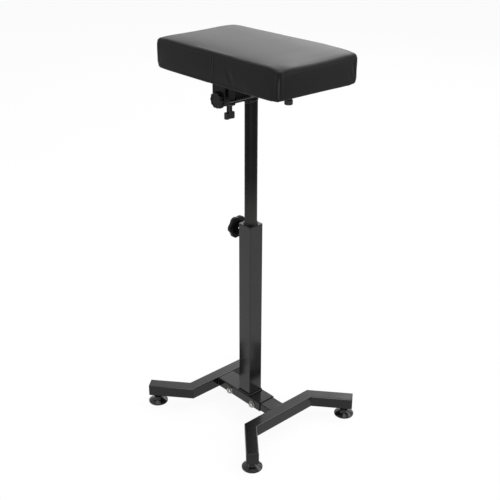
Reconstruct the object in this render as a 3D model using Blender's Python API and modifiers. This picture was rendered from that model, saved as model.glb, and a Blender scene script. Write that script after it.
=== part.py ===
# Tattoo armrest stand: a padded rest on a round mast that telescopes in a square post.
# The post stands on a bolted base of two bent leg bars with levelling feet.
# Units are metres, +Z is up, the origin is on the floor under the post's axis.
# X runs along the cushion and the base's spine, Y along the leg bars' middles.
import math

import bmesh
import bpy
from mathutils import Matrix, Vector

# Shared clearances and cuts
GAP = 0.0003
RUNNING = 0.0003
OVERRUN = 0.002
WELD_DISTANCE = 0.00001

# Facets of round pieces
FINE_SIDES = 48
ROUND_SIDES = 32
SMALL_SIDES = 20
SMOOTH_ANGLE = math.radians(35)
FLAT_ANGLE = math.radians(0.5)

# Leg bars: square tube, mitred outwards at both ends
LEG_WIDTH = 0.030
LEG_HEIGHT = 0.030
LEG_WALL = 0.0015
LEG_CORNER = 0.0022
LEG_OFFSET = 0.1134
LEG_MIDDLE_HALF = 0.1014
LEG_END_LENGTH = 0.1106
LEG_END_ANGLE = math.radians(40)

# End caps of the leg bars
CAP_FLANGE = 0.0018
CAP_DEPTH = 0.008
CAP_EDGE = 0.0006

# Levelling feet
FOOT_INSET = 0.0204
GLIDE_RADIUS = 0.0247
GLIDE_RIM = 0.0034
GLIDE_SHOULDER_RADIUS = 0.0174
GLIDE_SHOULDER_RISE = 0.0080
GLIDE_NECK_RADIUS = 0.0105
GLIDE_NECK_RISE = 0.0135
GLIDE_HEIGHT = 0.0167
GLIDE_EDGE = 0.0008
FOOT_STUD_RADIUS = 0.004
FOOT_STUD_FLOOR = 0.006
FOOT_STUD_LENGTH = 0.034
FOOT_NUT_HEIGHT = 0.0060
FOOT_NUT_FLATS = 0.014
FOOT_NUT_ABOVE_GLIDE = 0.0010

# Base sleeve and the two stubs bolted into it
SLEEVE_WIDTH = 0.050
SLEEVE_HEIGHT = 0.025
SLEEVE_WALL = 0.002
SLEEVE_CORNER = 0.0025
SLEEVE_RISE = 0.0025
SLEEVE_LEFT = 0.0945
SLEEVE_RIGHT = 0.0615
STUB_WALL = 0.002
STUB_CORNER = 0.002
STUB_LEFT_END = 0.030
STUB_RIGHT_END = 0.0225

# Sleeve bolts with their nuts
BOLT_DROP = 0.0035
BOLT_LEFT_X = 0.0495
BOLT_RIGHT_X = 0.0350
BOLT_RADIUS = 0.004
BOLT_HEAD_FLATS = 0.013
BOLT_HEAD_HEIGHT = 0.0055
BOLT_FLANGE_RADIUS = 0.0095
BOLT_FLANGE = 0.0016
BOLT_POINT = 0.004
NUT_HEIGHT = 0.0065

# Square post and its base weld
POST_SIDE = 0.040
POST_WALL = 0.002
POST_CORNER = 0.0015
POST_LENGTH = 0.4625
WELD_LEG = 0.0035

# Bush in the post's top
BUSH_FLANGE = 0.003
BUSH_DEPTH = 0.040
BUSH_COLLAR_RADIUS = 0.0175
BUSH_COLLAR_HEIGHT = 0.004
BUSH_CHAMFER = 0.0008

# Round mast, its slider and its lower end
MAST_RADIUS = 0.015
MAST_WALL = 0.002
MAST_EXPOSED = 0.2975
MAST_LENGTH = 0.440
SLIDER_HEIGHT = 0.030
SLIDER_CORNER = 0.002
RETAINER_RADIUS = 0.0168
RETAINER_THICKNESS = 0.003
PLUG_FLANGE = 0.004
PLUG_DEPTH = 0.014
PLUG_HOLE_RADIUS = 0.003

# Arm on the mast's top and the weld under it
ARM_WIDTH = 0.027
ARM_THICKNESS = 0.005
ARM_REACH = 0.064
ARM_EDGE = 0.0014
RIB_THICKNESS = 0.006
RIB_HEIGHT = 0.0192
RIB_LENGTH = 0.045
RIB_FLAT_SHARE = 0.5
RIB_TOE_SHARE = 0.2
RIB_TO_HEAD = 0.015
ARM_WELD_RADIUS = 0.0172
ARM_WELD_DEPTH = 0.0085
ARM_WELD_SLOPE = math.radians(15)

# Swivel head: block, round seat and tilt hub in one casting
HEAD_WIDTH = 0.017
HEAD_DEPTH = 0.020
HEAD_HEIGHT = 0.033
HEAD_EDGE = 0.0015
HEAD_SEAT_RADIUS = 0.0122
HEAD_SEAT = 0.0022
HUB_RADIUS = 0.0170
HUB_THICKNESS = 0.0135
HUB_CLEARANCE = 0.0007
HUB_RELIEF_RADIUS = 0.0095
HUB_RELIEF = 0.0009
TILT_HEIGHT = 0.0076

# Swivel screw with its wing knob and clamp washer
SWIVEL_STUD_RADIUS = 0.004
SWIVEL_STUD_IN_HEAD = 0.016
SWIVEL_STUD_SHOWN = 0.0020
WASHER_RADIUS = 0.0132
WASHER_THICKNESS = 0.0036
WING_SPAN = 0.0270
WING_LOBE_RADIUS = 0.0060
WING_WAIST = 0.0085
WING_HEIGHT = 0.0150
WING_NECK_RADIUS = 0.0063
WING_NECK = 0.0142
WING_EDGE = 0.0014
WING_BORE_DEPTH = 0.020

# Tilt bracket under the cushion
BRACKET_WIDTH = 0.0385
BRACKET_THICKNESS = 0.003
BRACKET_LENGTH = 0.152
BRACKET_BEND = 0.004
PIVOT_TO_BOARD = 0.0384
SCREW_PLACE_SHARES = (0.24, 0.48, 0.72, 0.94)
SCREW_HEAD_RADIUS = 0.0045
SCREW_HEAD_HEIGHT = 0.0024
SCREW_SHANK_RADIUS = 0.002
SCREW_GRIP = 0.008
SCREW_SLOT_WIDTH = 0.001
SCREW_SLOT_DEPTH = 0.001

# Tilt knob
TILT_KNOB_RADIUS = 0.0178
TILT_KNOB_THICKNESS = 0.0085
TILT_KNOB_LOBES = 10
TILT_KNOB_SCALLOP = 0.0016
TILT_KNOB_EDGE = 0.0014
TILT_KNOB_DISH_RADIUS = 0.0128
TILT_KNOB_DISH = 0.0008
TILT_STUD_RADIUS = 0.004
TILT_STUD_IN_HEAD = 0.018
TILT_STUD_IN_KNOB = 0.005

# Height knob, its stud and the boss on the post
HEIGHT_KNOB_RADIUS = 0.0278
HEIGHT_KNOB_DEPTH = 0.0105
HEIGHT_KNOB_LOBES = 6
HEIGHT_KNOB_SCALLOP = 0.0032
HEIGHT_KNOB_EDGE = 0.0026
HEIGHT_KNOB_HOLLOW_RADIUS = 0.0176
HEIGHT_KNOB_HOLLOW = 0.0072
HEIGHT_KNOB_HUB_RADIUS = 0.0085
HEIGHT_KNOB_HUB_PROUD = 0.005
HEIGHT_KNOB_RIB = 0.0016
HEIGHT_KNOB_STANDOFF = 0.0225
HEIGHT_KNOB_DROP = 0.0201
HEIGHT_STUD_RADIUS = 0.005
HEIGHT_STUD_IN_KNOB = 0.0075
BOSS_RADIUS = 0.0100
BOSS_LENGTH = 0.010

# Board, cushion and the buffer under it
PAD_ALONG = 0.0022
PAD_ACROSS = 0.0048
BOARD_LENGTH = 0.376
BOARD_WIDTH = 0.215
BOARD_THICKNESS = 0.012
BOARD_CORNER = 0.012
CUSHION_BOTTOM_LENGTH = 0.3955
CUSHION_BOTTOM_WIDTH = 0.2334
CUSHION_TOP_LENGTH = 0.4050
CUSHION_TOP_WIDTH = 0.2364
CUSHION_HEIGHT = 0.0668
CUSHION_CROWN = 0.0075
CUSHION_FOLD_RADIUS = 0.009
CUSHION_CORNER = 0.0022
CUSHION_CORNER_DROP = 0.003
CUSHION_DRAW_IN = 0.0022
CUSHION_SEAM = 0.0014
SEAM_ALONG = -0.0072
SEAM_REACH_SHARE = 0.30
CUSHION_X_SHARES = (0.0, 0.022, 0.30, 0.62, 0.86, 0.970, 1.0)
CUSHION_Y_SHARES = (0.0, 0.36, 0.74, 0.945, 1.0)
CUSHION_Z_SHARES = (0.0, 0.12, 0.60, 0.90, 1.0)
CORNER_X_SHARE = 0.90
CORNER_Y_SHARE = 0.85
BUFFER_X = 0.117
BUFFER_RADIUS = 0.0092
BUFFER_TIP = 0.0105
BUFFER_TIP_EDGE = 0.0015
BUFFER_GROOVE = 0.0009
BUFFER_STEM = 0.0308
BUFFER_STEM_RADIUS = 0.0076

# Heights and places that follow from the sizes above
LEG_BOTTOM = GLIDE_HEIGHT + FOOT_NUT_ABOVE_GLIDE + FOOT_NUT_HEIGHT + GAP
LEG_TOP = LEG_BOTTOM + LEG_HEIGHT
SLEEVE_CENTRE = LEG_BOTTOM + LEG_HEIGHT / 2 + SLEEVE_RISE
SLEEVE_TOP = SLEEVE_CENTRE + SLEEVE_HEIGHT / 2
BOLT_LEVEL = SLEEVE_CENTRE - BOLT_DROP
STUB_WIDTH = SLEEVE_WIDTH - 2 * (SLEEVE_WALL + GAP)
STUB_HEIGHT = SLEEVE_HEIGHT - 2 * (SLEEVE_WALL + GAP)
POST_BOTTOM = SLEEVE_TOP + GAP
POST_TOP = POST_BOTTOM + POST_LENGTH
BUSH_TOP = POST_TOP + GAP + BUSH_FLANGE
COLLAR_TOP = BUSH_TOP + BUSH_COLLAR_HEIGHT
MAST_TOP = COLLAR_TOP + MAST_EXPOSED
MAST_BOTTOM = MAST_TOP - MAST_LENGTH
ARM_BOTTOM = MAST_TOP + GAP
ARM_TOP = ARM_BOTTOM + ARM_THICKNESS
HEAD_BOTTOM = ARM_TOP + GAP
PIVOT_HEIGHT = ARM_TOP + TILT_HEIGHT
HUB_BACK = -ARM_REACH - ARM_WIDTH / 2 - HUB_CLEARANCE
HUB_FACE = HUB_BACK - HUB_THICKNESS
EAR_BACK = HUB_FACE - GAP
EAR_FACE = EAR_BACK - BRACKET_THICKNESS
BOARD_BOTTOM = PIVOT_HEIGHT + PIVOT_TO_BOARD
STRAP_TOP = BOARD_BOTTOM - GAP
STRAP_BOTTOM = STRAP_TOP - BRACKET_THICKNESS
KNOB_HEIGHT = POST_TOP - HEIGHT_KNOB_DROP
KNOB_BACK = -POST_SIDE / 2 - HEIGHT_KNOB_STANDOFF

for old_object in list(bpy.data.objects):
    bpy.data.objects.remove(old_object, do_unlink=True)

parts = bpy.data.collections.new("tattoo_armrest_stand")
cutters = bpy.data.collections.new("cutters")
bpy.context.scene.collection.children.link(parts)
bpy.context.scene.collection.children.link(cutters)


# Materials

def make_material(name, colour, roughness, metallic):
    material = bpy.data.materials.new(name)
    material.use_nodes = True
    shader = material.node_tree.nodes["Principled BSDF"]
    shader.inputs["Base Color"].default_value = (*colour, 1.0)
    shader.inputs["Roughness"].default_value = roughness
    shader.inputs["Metallic"].default_value = metallic
    return material


POWDER = make_material("black_powder_coat", (0.018, 0.018, 0.019), 0.36, 0.0)
ZINC = make_material("zinc_plated_steel", (0.72, 0.73, 0.74), 0.28, 1.0)
BLACK_STEEL = make_material("black_steel", (0.045, 0.045, 0.048), 0.34, 0.8)
KNOB_PLASTIC = make_material("black_moulded_plastic", (0.014, 0.014, 0.015), 0.42, 0.0)
BUSH_PLASTIC = make_material("black_nylon", (0.020, 0.020, 0.021), 0.30, 0.0)
GLIDE_PLASTIC = make_material("glossy_black_plastic", (0.010, 0.010, 0.011), 0.16, 0.0)
RUBBER = make_material("black_rubber", (0.013, 0.013, 0.013), 0.62, 0.0)
PLYWOOD = make_material("black_stained_plywood", (0.030, 0.028, 0.026), 0.60, 0.0)
LEATHERETTE = make_material("black_leatherette", (0.030, 0.030, 0.031), 0.44, 0.0)


# Making and placing objects

def add_empty(name, place, parent=None):
    empty = bpy.data.objects.new(name, None)
    parts.objects.link(empty)
    empty["world_place"] = tuple(place)
    put(empty, place, parent)
    return empty


def put(obj, place, parent=None):
    """Place an object at a point of the world, under a parent that isn't turned."""
    place = Vector(place)
    if parent is not None:
        obj.parent = parent
        place = place - Vector(parent["world_place"])
    obj.location = place


def add_part(name, mesh, material, place=(0, 0, 0), parent=None, turn=(0, 0, 0)):
    obj = bpy.data.objects.new(name, mesh)
    parts.objects.link(obj)
    obj.data.materials.clear()
    obj.data.materials.append(material)
    put(obj, place, parent)
    obj.rotation_euler = turn
    return obj


def add_cutter(name, mesh, place=(0, 0, 0), turn=(0, 0, 0)):
    obj = bpy.data.objects.new(name, mesh)
    cutters.objects.link(obj)
    obj.location = place
    obj.rotation_euler = turn
    obj.hide_render = True
    obj.display_type = "WIRE"
    return obj


def boolean(obj, other, operation="DIFFERENCE"):
    modifier = obj.modifiers.new(other.name, "BOOLEAN")
    modifier.operation = operation
    modifier.solver = "EXACT"
    modifier.object = other
    return modifier


def bevel(obj, width, segments=2, angle=math.radians(40)):
    modifier = obj.modifiers.new("edge", "BEVEL")
    modifier.width = width
    modifier.segments = segments
    modifier.limit_method = "ANGLE"
    modifier.angle_limit = angle
    modifier.harden_normals = False
    return modifier


def bevel_marked_edges(obj, width, is_marked, segments=2):
    """Round only the edges whose two ends pass the test."""
    mesh = obj.data
    weights = mesh.attributes.new("bevel_weight_edge", "FLOAT", "EDGE")
    for edge in mesh.edges:
        first, second = (mesh.vertices[i].co for i in edge.vertices)
        weights.data[edge.index].value = 1.0 if is_marked(first, second) else 0.0
    modifier = obj.modifiers.new("edge", "BEVEL")
    modifier.width = width
    modifier.segments = segments
    modifier.limit_method = "WEIGHT"
    return modifier


def shade_round(mesh):
    mesh.shade_smooth()
    mesh.set_sharp_from_angle(angle=SMOOTH_ANGLE)


# Outlines and solids

def circle(radius, sides, centre=(0, 0)):
    step = math.tau / sides
    return [(centre[0] + radius * math.cos(i * step), centre[1] + radius * math.sin(i * step))
            for i in range(sides)]


def hexagon(flats):
    return circle(flats / 2 / math.cos(math.pi / 6), 6)


def arc(centre, radius, start, end, steps):
    return [(centre[0] + radius * math.cos(start + (end - start) * i / steps),
             centre[1] + radius * math.sin(start + (end - start) * i / steps))
            for i in range(steps + 1)]


def rounded_rectangle(width, height, radius, steps=3):
    quarter = math.pi / 2
    corners = ((1, 1), (-1, 1), (-1, -1), (1, -1))
    points = []
    for i, (sx, sy) in enumerate(corners):
        centre = (sx * (width / 2 - radius), sy * (height / 2 - radius))
        points += arc(centre, radius, i * quarter, (i + 1) * quarter, steps)
    return points


def stadium(radius, far_y, steps=12):
    """A round-ended bar from the origin to a second centre on the Y axis."""
    return (arc((0, 0), radius, 0, math.pi, steps)
            + arc((0, far_y), radius, math.pi, math.tau, steps))


def lobed(radius, scallop, lobes, steps=6):
    """A knob's outline: a circle with rounded scallops between its lobes."""
    count = lobes * steps
    points = []
    for i in range(count):
        angle = math.tau * i / count
        dip = (0.5 - 0.5 * math.cos(lobes * angle)) ** 1.5
        reach = radius - scallop * dip
        points.append((reach * math.cos(angle), reach * math.sin(angle)))
    return points


def prism(outline, thickness):
    """A flat outline as a filled curve made into a mesh about z = 0."""
    curve = bpy.data.curves.new("outline", "CURVE")
    curve.dimensions = "2D"
    curve.fill_mode = "BOTH"
    curve.extrude = thickness / 2
    spline = curve.splines.new("POLY")
    spline.points.add(len(outline) - 1)
    for point, (x, y) in zip(spline.points, outline):
        point.co = (x, y, 0, 1)
    spline.use_cyclic_u = True
    obj = bpy.data.objects.new("curve", curve)
    cutters.objects.link(obj)
    graph = bpy.context.evaluated_depsgraph_get()
    mesh = bpy.data.meshes.new_from_object(obj.evaluated_get(graph))
    bpy.data.objects.remove(obj, do_unlink=True)
    bm = bmesh.new()
    bm.from_mesh(mesh)
    bmesh.ops.remove_doubles(bm, verts=bm.verts, dist=WELD_DISTANCE)
    bmesh.ops.dissolve_limit(bm, angle_limit=FLAT_ANGLE, verts=bm.verts, edges=bm.edges)
    bmesh.ops.recalc_face_normals(bm, faces=bm.faces)
    bm.to_mesh(mesh)
    bm.free()
    shade_round(mesh)
    return mesh


def box_mesh(size_x, size_y, size_z):
    bm = bmesh.new()
    bmesh.ops.create_cube(bm, size=1.0)
    bmesh.ops.scale(bm, vec=(size_x, size_y, size_z), verts=bm.verts)
    mesh = bpy.data.meshes.new("box")
    bm.to_mesh(mesh)
    bm.free()
    return mesh


def cylinder_mesh(radius, length, sides, top_radius=None):
    """A cylinder or cone from z = 0 up."""
    bm = bmesh.new()
    bmesh.ops.create_cone(bm, cap_ends=True, segments=sides, radius1=radius,
                          radius2=radius if top_radius is None else top_radius, depth=length)
    bmesh.ops.translate(bm, vec=(0, 0, length / 2), verts=bm.verts)
    mesh = bpy.data.meshes.new("cylinder")
    bm.to_mesh(mesh)
    bm.free()
    shade_round(mesh)
    return mesh


def turned(name, profile, material, place, parent=None, turn=(0, 0, 0), sides=ROUND_SIDES, closed=False):
    """A profile of (radius, height) points, down its outer side, turned about Z."""
    mesh = bpy.data.meshes.new(name)
    count = len(profile)
    edges = [(i, i + 1) for i in range(count - 1)]
    if closed:
        edges.append((count - 1, 0))
    mesh.from_pydata([(radius, 0, height) for radius, height in profile], edges, [])
    obj = add_part(name, mesh, material, place, parent, turn)
    screw = obj.modifiers.new("turn", "SCREW")
    screw.axis = "Z"
    screw.angle = math.tau
    screw.steps = sides
    screw.render_steps = sides
    screw.use_merge_vertices = True
    screw.merge_threshold = WELD_DISTANCE
    screw.use_smooth_shade = True
    return obj


def along(direction):
    """The turn that lays an upright piece along a world direction."""
    return Vector(direction).to_track_quat("Z", "Y").to_euler()


def bore(obj, name, radius, length, place, turn=(0, 0, 0), sides=SMALL_SIDES):
    """Cut a round hole that starts at a place and runs along the turned Z axis."""
    cutter = add_cutter(name, cylinder_mesh(radius, length, sides), place, turn)
    boolean(obj, cutter)


def ring(name, outer, inner, top, bottom, material, parent=None, sides=FINE_SIDES):
    """A plain tube or washer about the post's axis."""
    profile = [(inner, top), (outer, top), (outer, bottom), (inner, bottom)]
    return turned(name, profile, material, (0, 0, 0), parent, sides=sides, closed=True)


def rectangular_tube(name, width, height, corner, wall, length, material, place, turn, parent=None):
    outer = rounded_rectangle(width, height, corner)
    inner = rounded_rectangle(width - 2 * wall, height - 2 * wall, max(corner - wall, wall / 4))
    tube = add_part(name, prism(outer, length), material, place, parent, turn)
    hollow = add_cutter(name + "_hollow", prism(inner, length + 2 * OVERRUN), place, turn)
    boolean(tube, hollow)
    return tube


# Base: leg bars, end caps, feet, sleeve, stubs and bolts

def leg_outline(half_width, extension):
    """Plan of the right leg bar, mitred at its two bends."""
    along_end = Vector((math.cos(LEG_END_ANGLE), math.sin(LEG_END_ANGLE)))
    across_end = Vector((along_end.y, -along_end.x))
    across_middle = Vector((1, 0))
    mitre = (across_end + across_middle).normalized()
    reach = half_width / mitre.dot(across_middle)
    bend = Vector((LEG_OFFSET, LEG_MIDDLE_HALF))
    end = bend + along_end * (LEG_END_LENGTH + extension)
    upper = [end - across_end * half_width, end + across_end * half_width,
             bend + mitre * reach]
    lower = [Vector((p.x, -p.y)) for p in reversed(upper)]
    outer_bend = bend - mitre * reach
    return upper + lower + [Vector((outer_bend.x, -outer_bend.y)), outer_bend]


def leg_end(side_x, side_y, distance):
    """A point on an end section's centre line, measured back from its end."""
    run = LEG_END_LENGTH - distance
    return (side_x * (LEG_OFFSET + run * math.cos(LEG_END_ANGLE)),
            side_y * (LEG_MIDDLE_HALF + run * math.sin(LEG_END_ANGLE)))


def make_leg_bar(name, side_x):
    shortened = -(CAP_FLANGE + GAP)
    outer = [(side_x * p.x, p.y) for p in leg_outline(LEG_WIDTH / 2, shortened)]
    inner = [(side_x * p.x, p.y) for p in leg_outline(LEG_WIDTH / 2 - LEG_WALL, shortened + OVERRUN)]
    middle_height = LEG_BOTTOM + LEG_HEIGHT / 2
    bar = add_part(name, prism(outer, LEG_HEIGHT), POWDER, (0, 0, middle_height))
    end_along = Vector((side_x * math.cos(LEG_END_ANGLE), math.sin(LEG_END_ANGLE)))

    def is_long_edge(first, second):
        run = second - first
        if abs(run.z) > WELD_DISTANCE:
            return False
        plan = Vector((run.x, run.y)).normalized()
        mirrored = Vector((end_along.x, -end_along.y))
        square = min(abs(plan.dot(end_along)), abs(plan.dot(mirrored)))
        is_middle = abs(plan.x) < 0.01
        return is_middle or square > 0.01 and run.length > 2 * LEG_WIDTH

    bevel_marked_edges(bar, LEG_CORNER, is_long_edge)
    hollow = add_cutter(name + "_hollow", prism(inner, LEG_HEIGHT - 2 * LEG_WALL),
                        (0, 0, middle_height))
    boolean(bar, hollow)
    for side_y in (-1, 1):
        x, y = leg_end(side_x, side_y, FOOT_INSET)
        word = "front" if side_y < 0 else "rear"
        bore(bar, f"{name}_hole_{word}", FOOT_STUD_RADIUS + GAP, LEG_WALL + 2 * OVERRUN,
             (x, y, LEG_BOTTOM - OVERRUN))


def make_end_cap(name, side_x, side_y):
    """A plastic cap: a flange the size of the tube and a plug inside it."""
    x, y = leg_end(side_x, side_y, CAP_FLANGE / 2)
    outward = Vector((side_x * math.cos(LEG_END_ANGLE), side_y * math.sin(LEG_END_ANGLE), 0))
    up = Vector((0, 0, 1))
    turn = Matrix((up.cross(outward), up, outward)).transposed()
    middle = Vector((x, y, LEG_BOTTOM + LEG_HEIGHT / 2))
    flange = prism(rounded_rectangle(LEG_WIDTH, LEG_HEIGHT, LEG_CORNER), CAP_FLANGE)
    cap = add_part(name, flange, KNOB_PLASTIC, middle)
    cap.rotation_euler = turn.to_euler()
    bevel_marked_edges(cap, CAP_EDGE, lambda a, b: a.z > 0 and b.z > 0)
    shrink = 2 * (LEG_WALL + GAP)
    plug_length = CAP_DEPTH + CAP_FLANGE / 2
    plug = add_cutter(name + "_plug",
                      prism(rounded_rectangle(LEG_WIDTH - shrink, LEG_HEIGHT - shrink, LEG_WALL),
                            plug_length),
                      middle - outward * (plug_length / 2))
    plug.rotation_euler = turn.to_euler()
    boolean(cap, plug, "UNION")
    return cap


def make_foot(name, side_x, side_y):
    x, y = leg_end(side_x, side_y, FOOT_INSET)
    axis = add_empty(f"foot_{name}_axis", (x, y, 0))
    stud_bore = FOOT_STUD_RADIUS + GAP
    profile = [
        (stud_bore, GLIDE_HEIGHT),
        (GLIDE_NECK_RADIUS - GLIDE_EDGE, GLIDE_HEIGHT),
        (GLIDE_NECK_RADIUS, GLIDE_HEIGHT - GLIDE_EDGE),
        (GLIDE_NECK_RADIUS, GLIDE_NECK_RISE),
        ((GLIDE_NECK_RADIUS + GLIDE_SHOULDER_RADIUS) / 2, (GLIDE_NECK_RISE + 2 * GLIDE_SHOULDER_RISE) / 3),
        (GLIDE_SHOULDER_RADIUS, GLIDE_SHOULDER_RISE),
        (GLIDE_RADIUS - GLIDE_EDGE, GLIDE_RIM + GLIDE_EDGE),
        (GLIDE_RADIUS, GLIDE_RIM),
        (GLIDE_RADIUS, GLIDE_EDGE),
        (GLIDE_RADIUS - GLIDE_EDGE, 0),
        (0, 0),
        (0, FOOT_STUD_FLOOR),
        (stud_bore, FOOT_STUD_FLOOR),
    ]
    turned(f"foot_glide_{name}", solid_of_revolution(profile), GLIDE_PLASTIC, (x, y, 0), axis)
    stud_start = FOOT_STUD_FLOOR + GAP
    add_part(f"foot_stud_{name}", cylinder_mesh(FOOT_STUD_RADIUS, FOOT_STUD_LENGTH, SMALL_SIDES),
             ZINC, (x, y, stud_start), axis)
    nut_bottom = GLIDE_HEIGHT + FOOT_NUT_ABOVE_GLIDE
    nut = add_part(f"foot_nut_{name}", prism(hexagon(FOOT_NUT_FLATS), FOOT_NUT_HEIGHT), BLACK_STEEL,
                   (x, y, nut_bottom + FOOT_NUT_HEIGHT / 2))
    bore(nut, f"foot_nut_bore_{name}", FOOT_STUD_RADIUS + GAP, FOOT_NUT_HEIGHT + 2 * OVERRUN,
         (x, y, nut_bottom - OVERRUN))


def solid_of_revolution(profile):
    """Reorder a profile so that it starts and ends on the axis, outer side down."""
    on_axis = [i for i, point in enumerate(profile) if point[0] == 0]
    if not on_axis:
        return profile
    start = on_axis[-1]
    return profile[start:] + profile[:start]


def make_base():
    for word, side_x in (("left", -1), ("right", 1)):
        make_leg_bar(f"leg_bar_{word}", side_x)
        for place_word, side_y in (("front", -1), ("rear", 1)):
            make_end_cap(f"end_cap_{word}_{place_word}", side_x, side_y)
            make_foot(f"{word}_{place_word}", side_x, side_y)
    lengthwise = along((1, 0, 0))
    sleeve_length = SLEEVE_LEFT + SLEEVE_RIGHT
    sleeve = rectangular_tube("base_sleeve", SLEEVE_WIDTH, SLEEVE_HEIGHT, SLEEVE_CORNER, SLEEVE_WALL,
                              sleeve_length, POWDER,
                              ((SLEEVE_RIGHT - SLEEVE_LEFT) / 2, 0, SLEEVE_CENTRE), lengthwise)
    stub_root = LEG_OFFSET - LEG_WIDTH / 2 - GAP
    stubs = []
    for word, side_x, inner_end in (("left", -1, STUB_LEFT_END), ("right", 1, STUB_RIGHT_END)):
        length = stub_root - inner_end
        centre = side_x * (stub_root + inner_end) / 2
        stubs.append(rectangular_tube(f"base_stub_{word}", STUB_WIDTH, STUB_HEIGHT, STUB_CORNER, STUB_WALL,
                                      length, POWDER, (centre, 0, SLEEVE_CENTRE), lengthwise))
    across = along((0, 1, 0))
    for word, x, stub in (("left", -BOLT_LEFT_X, stubs[0]), ("right", BOLT_RIGHT_X, stubs[1])):
        for obj in (sleeve, stub):
            bore(obj, f"{obj.name}_bolt_hole_{word}", BOLT_RADIUS + GAP, SLEEVE_WIDTH + 2 * OVERRUN,
                 (x, -SLEEVE_WIDTH / 2 - OVERRUN, BOLT_LEVEL), across)
        make_sleeve_bolt(word, x, across)


def make_sleeve_bolt(word, x, across):
    """A flanged hex bolt through the sleeve, its head at the front, and its nut."""
    seat = -SLEEVE_WIDTH / 2 - GAP
    head_face = seat - BOLT_FLANGE - BOLT_HEAD_HEIGHT
    nut_seat = SLEEVE_WIDTH / 2 + GAP
    tip = nut_seat + BOLT_FLANGE + NUT_HEIGHT + BOLT_POINT
    bolt = turned(f"sleeve_bolt_{word}",
                  [(0, tip - seat),
                   (BOLT_RADIUS - BOLT_POINT / 4, tip - seat),
                   (BOLT_RADIUS, tip - seat - BOLT_POINT / 4),
                   (BOLT_RADIUS, 0),
                   (BOLT_FLANGE_RADIUS, 0),
                   (BOLT_FLANGE_RADIUS, -BOLT_FLANGE / 2),
                   (BOLT_HEAD_FLATS / 2, -BOLT_FLANGE),
                   (BOLT_HEAD_FLATS / 4, -BOLT_FLANGE - BOLT_HEAD_HEIGHT / 2),
                   (0, -BOLT_FLANGE - BOLT_HEAD_HEIGHT / 2)],
                  ZINC, (x, seat, BOLT_LEVEL), turn=across, sides=SMALL_SIDES)
    head = add_cutter(f"sleeve_bolt_{word}_head", prism(hexagon(BOLT_HEAD_FLATS), BOLT_HEAD_HEIGHT),
                      (x, head_face + BOLT_HEAD_HEIGHT / 2 + BOLT_FLANGE / 4, BOLT_LEVEL), across)
    bevel(head, BOLT_FLANGE / 2, 1, math.radians(80))
    boolean(bolt, head, "UNION")
    nut = add_part(f"sleeve_nut_{word}", prism(hexagon(BOLT_HEAD_FLATS), NUT_HEIGHT), ZINC,
                   (x, nut_seat + BOLT_FLANGE + NUT_HEIGHT / 2, BOLT_LEVEL), turn=across)
    flange = add_cutter(f"sleeve_nut_{word}_flange",
                        cylinder_mesh(BOLT_FLANGE_RADIUS, BOLT_FLANGE * 1.5, SMALL_SIDES),
                        (x, nut_seat, BOLT_LEVEL), across)
    boolean(nut, flange, "UNION")
    bore(nut, f"sleeve_nut_{word}_bore", BOLT_RADIUS + GAP, tip - nut_seat + 2 * OVERRUN,
         (x, nut_seat - OVERRUN, BOLT_LEVEL), across)


# Post, its weld, the bush in its top and the boss for the height knob

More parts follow.
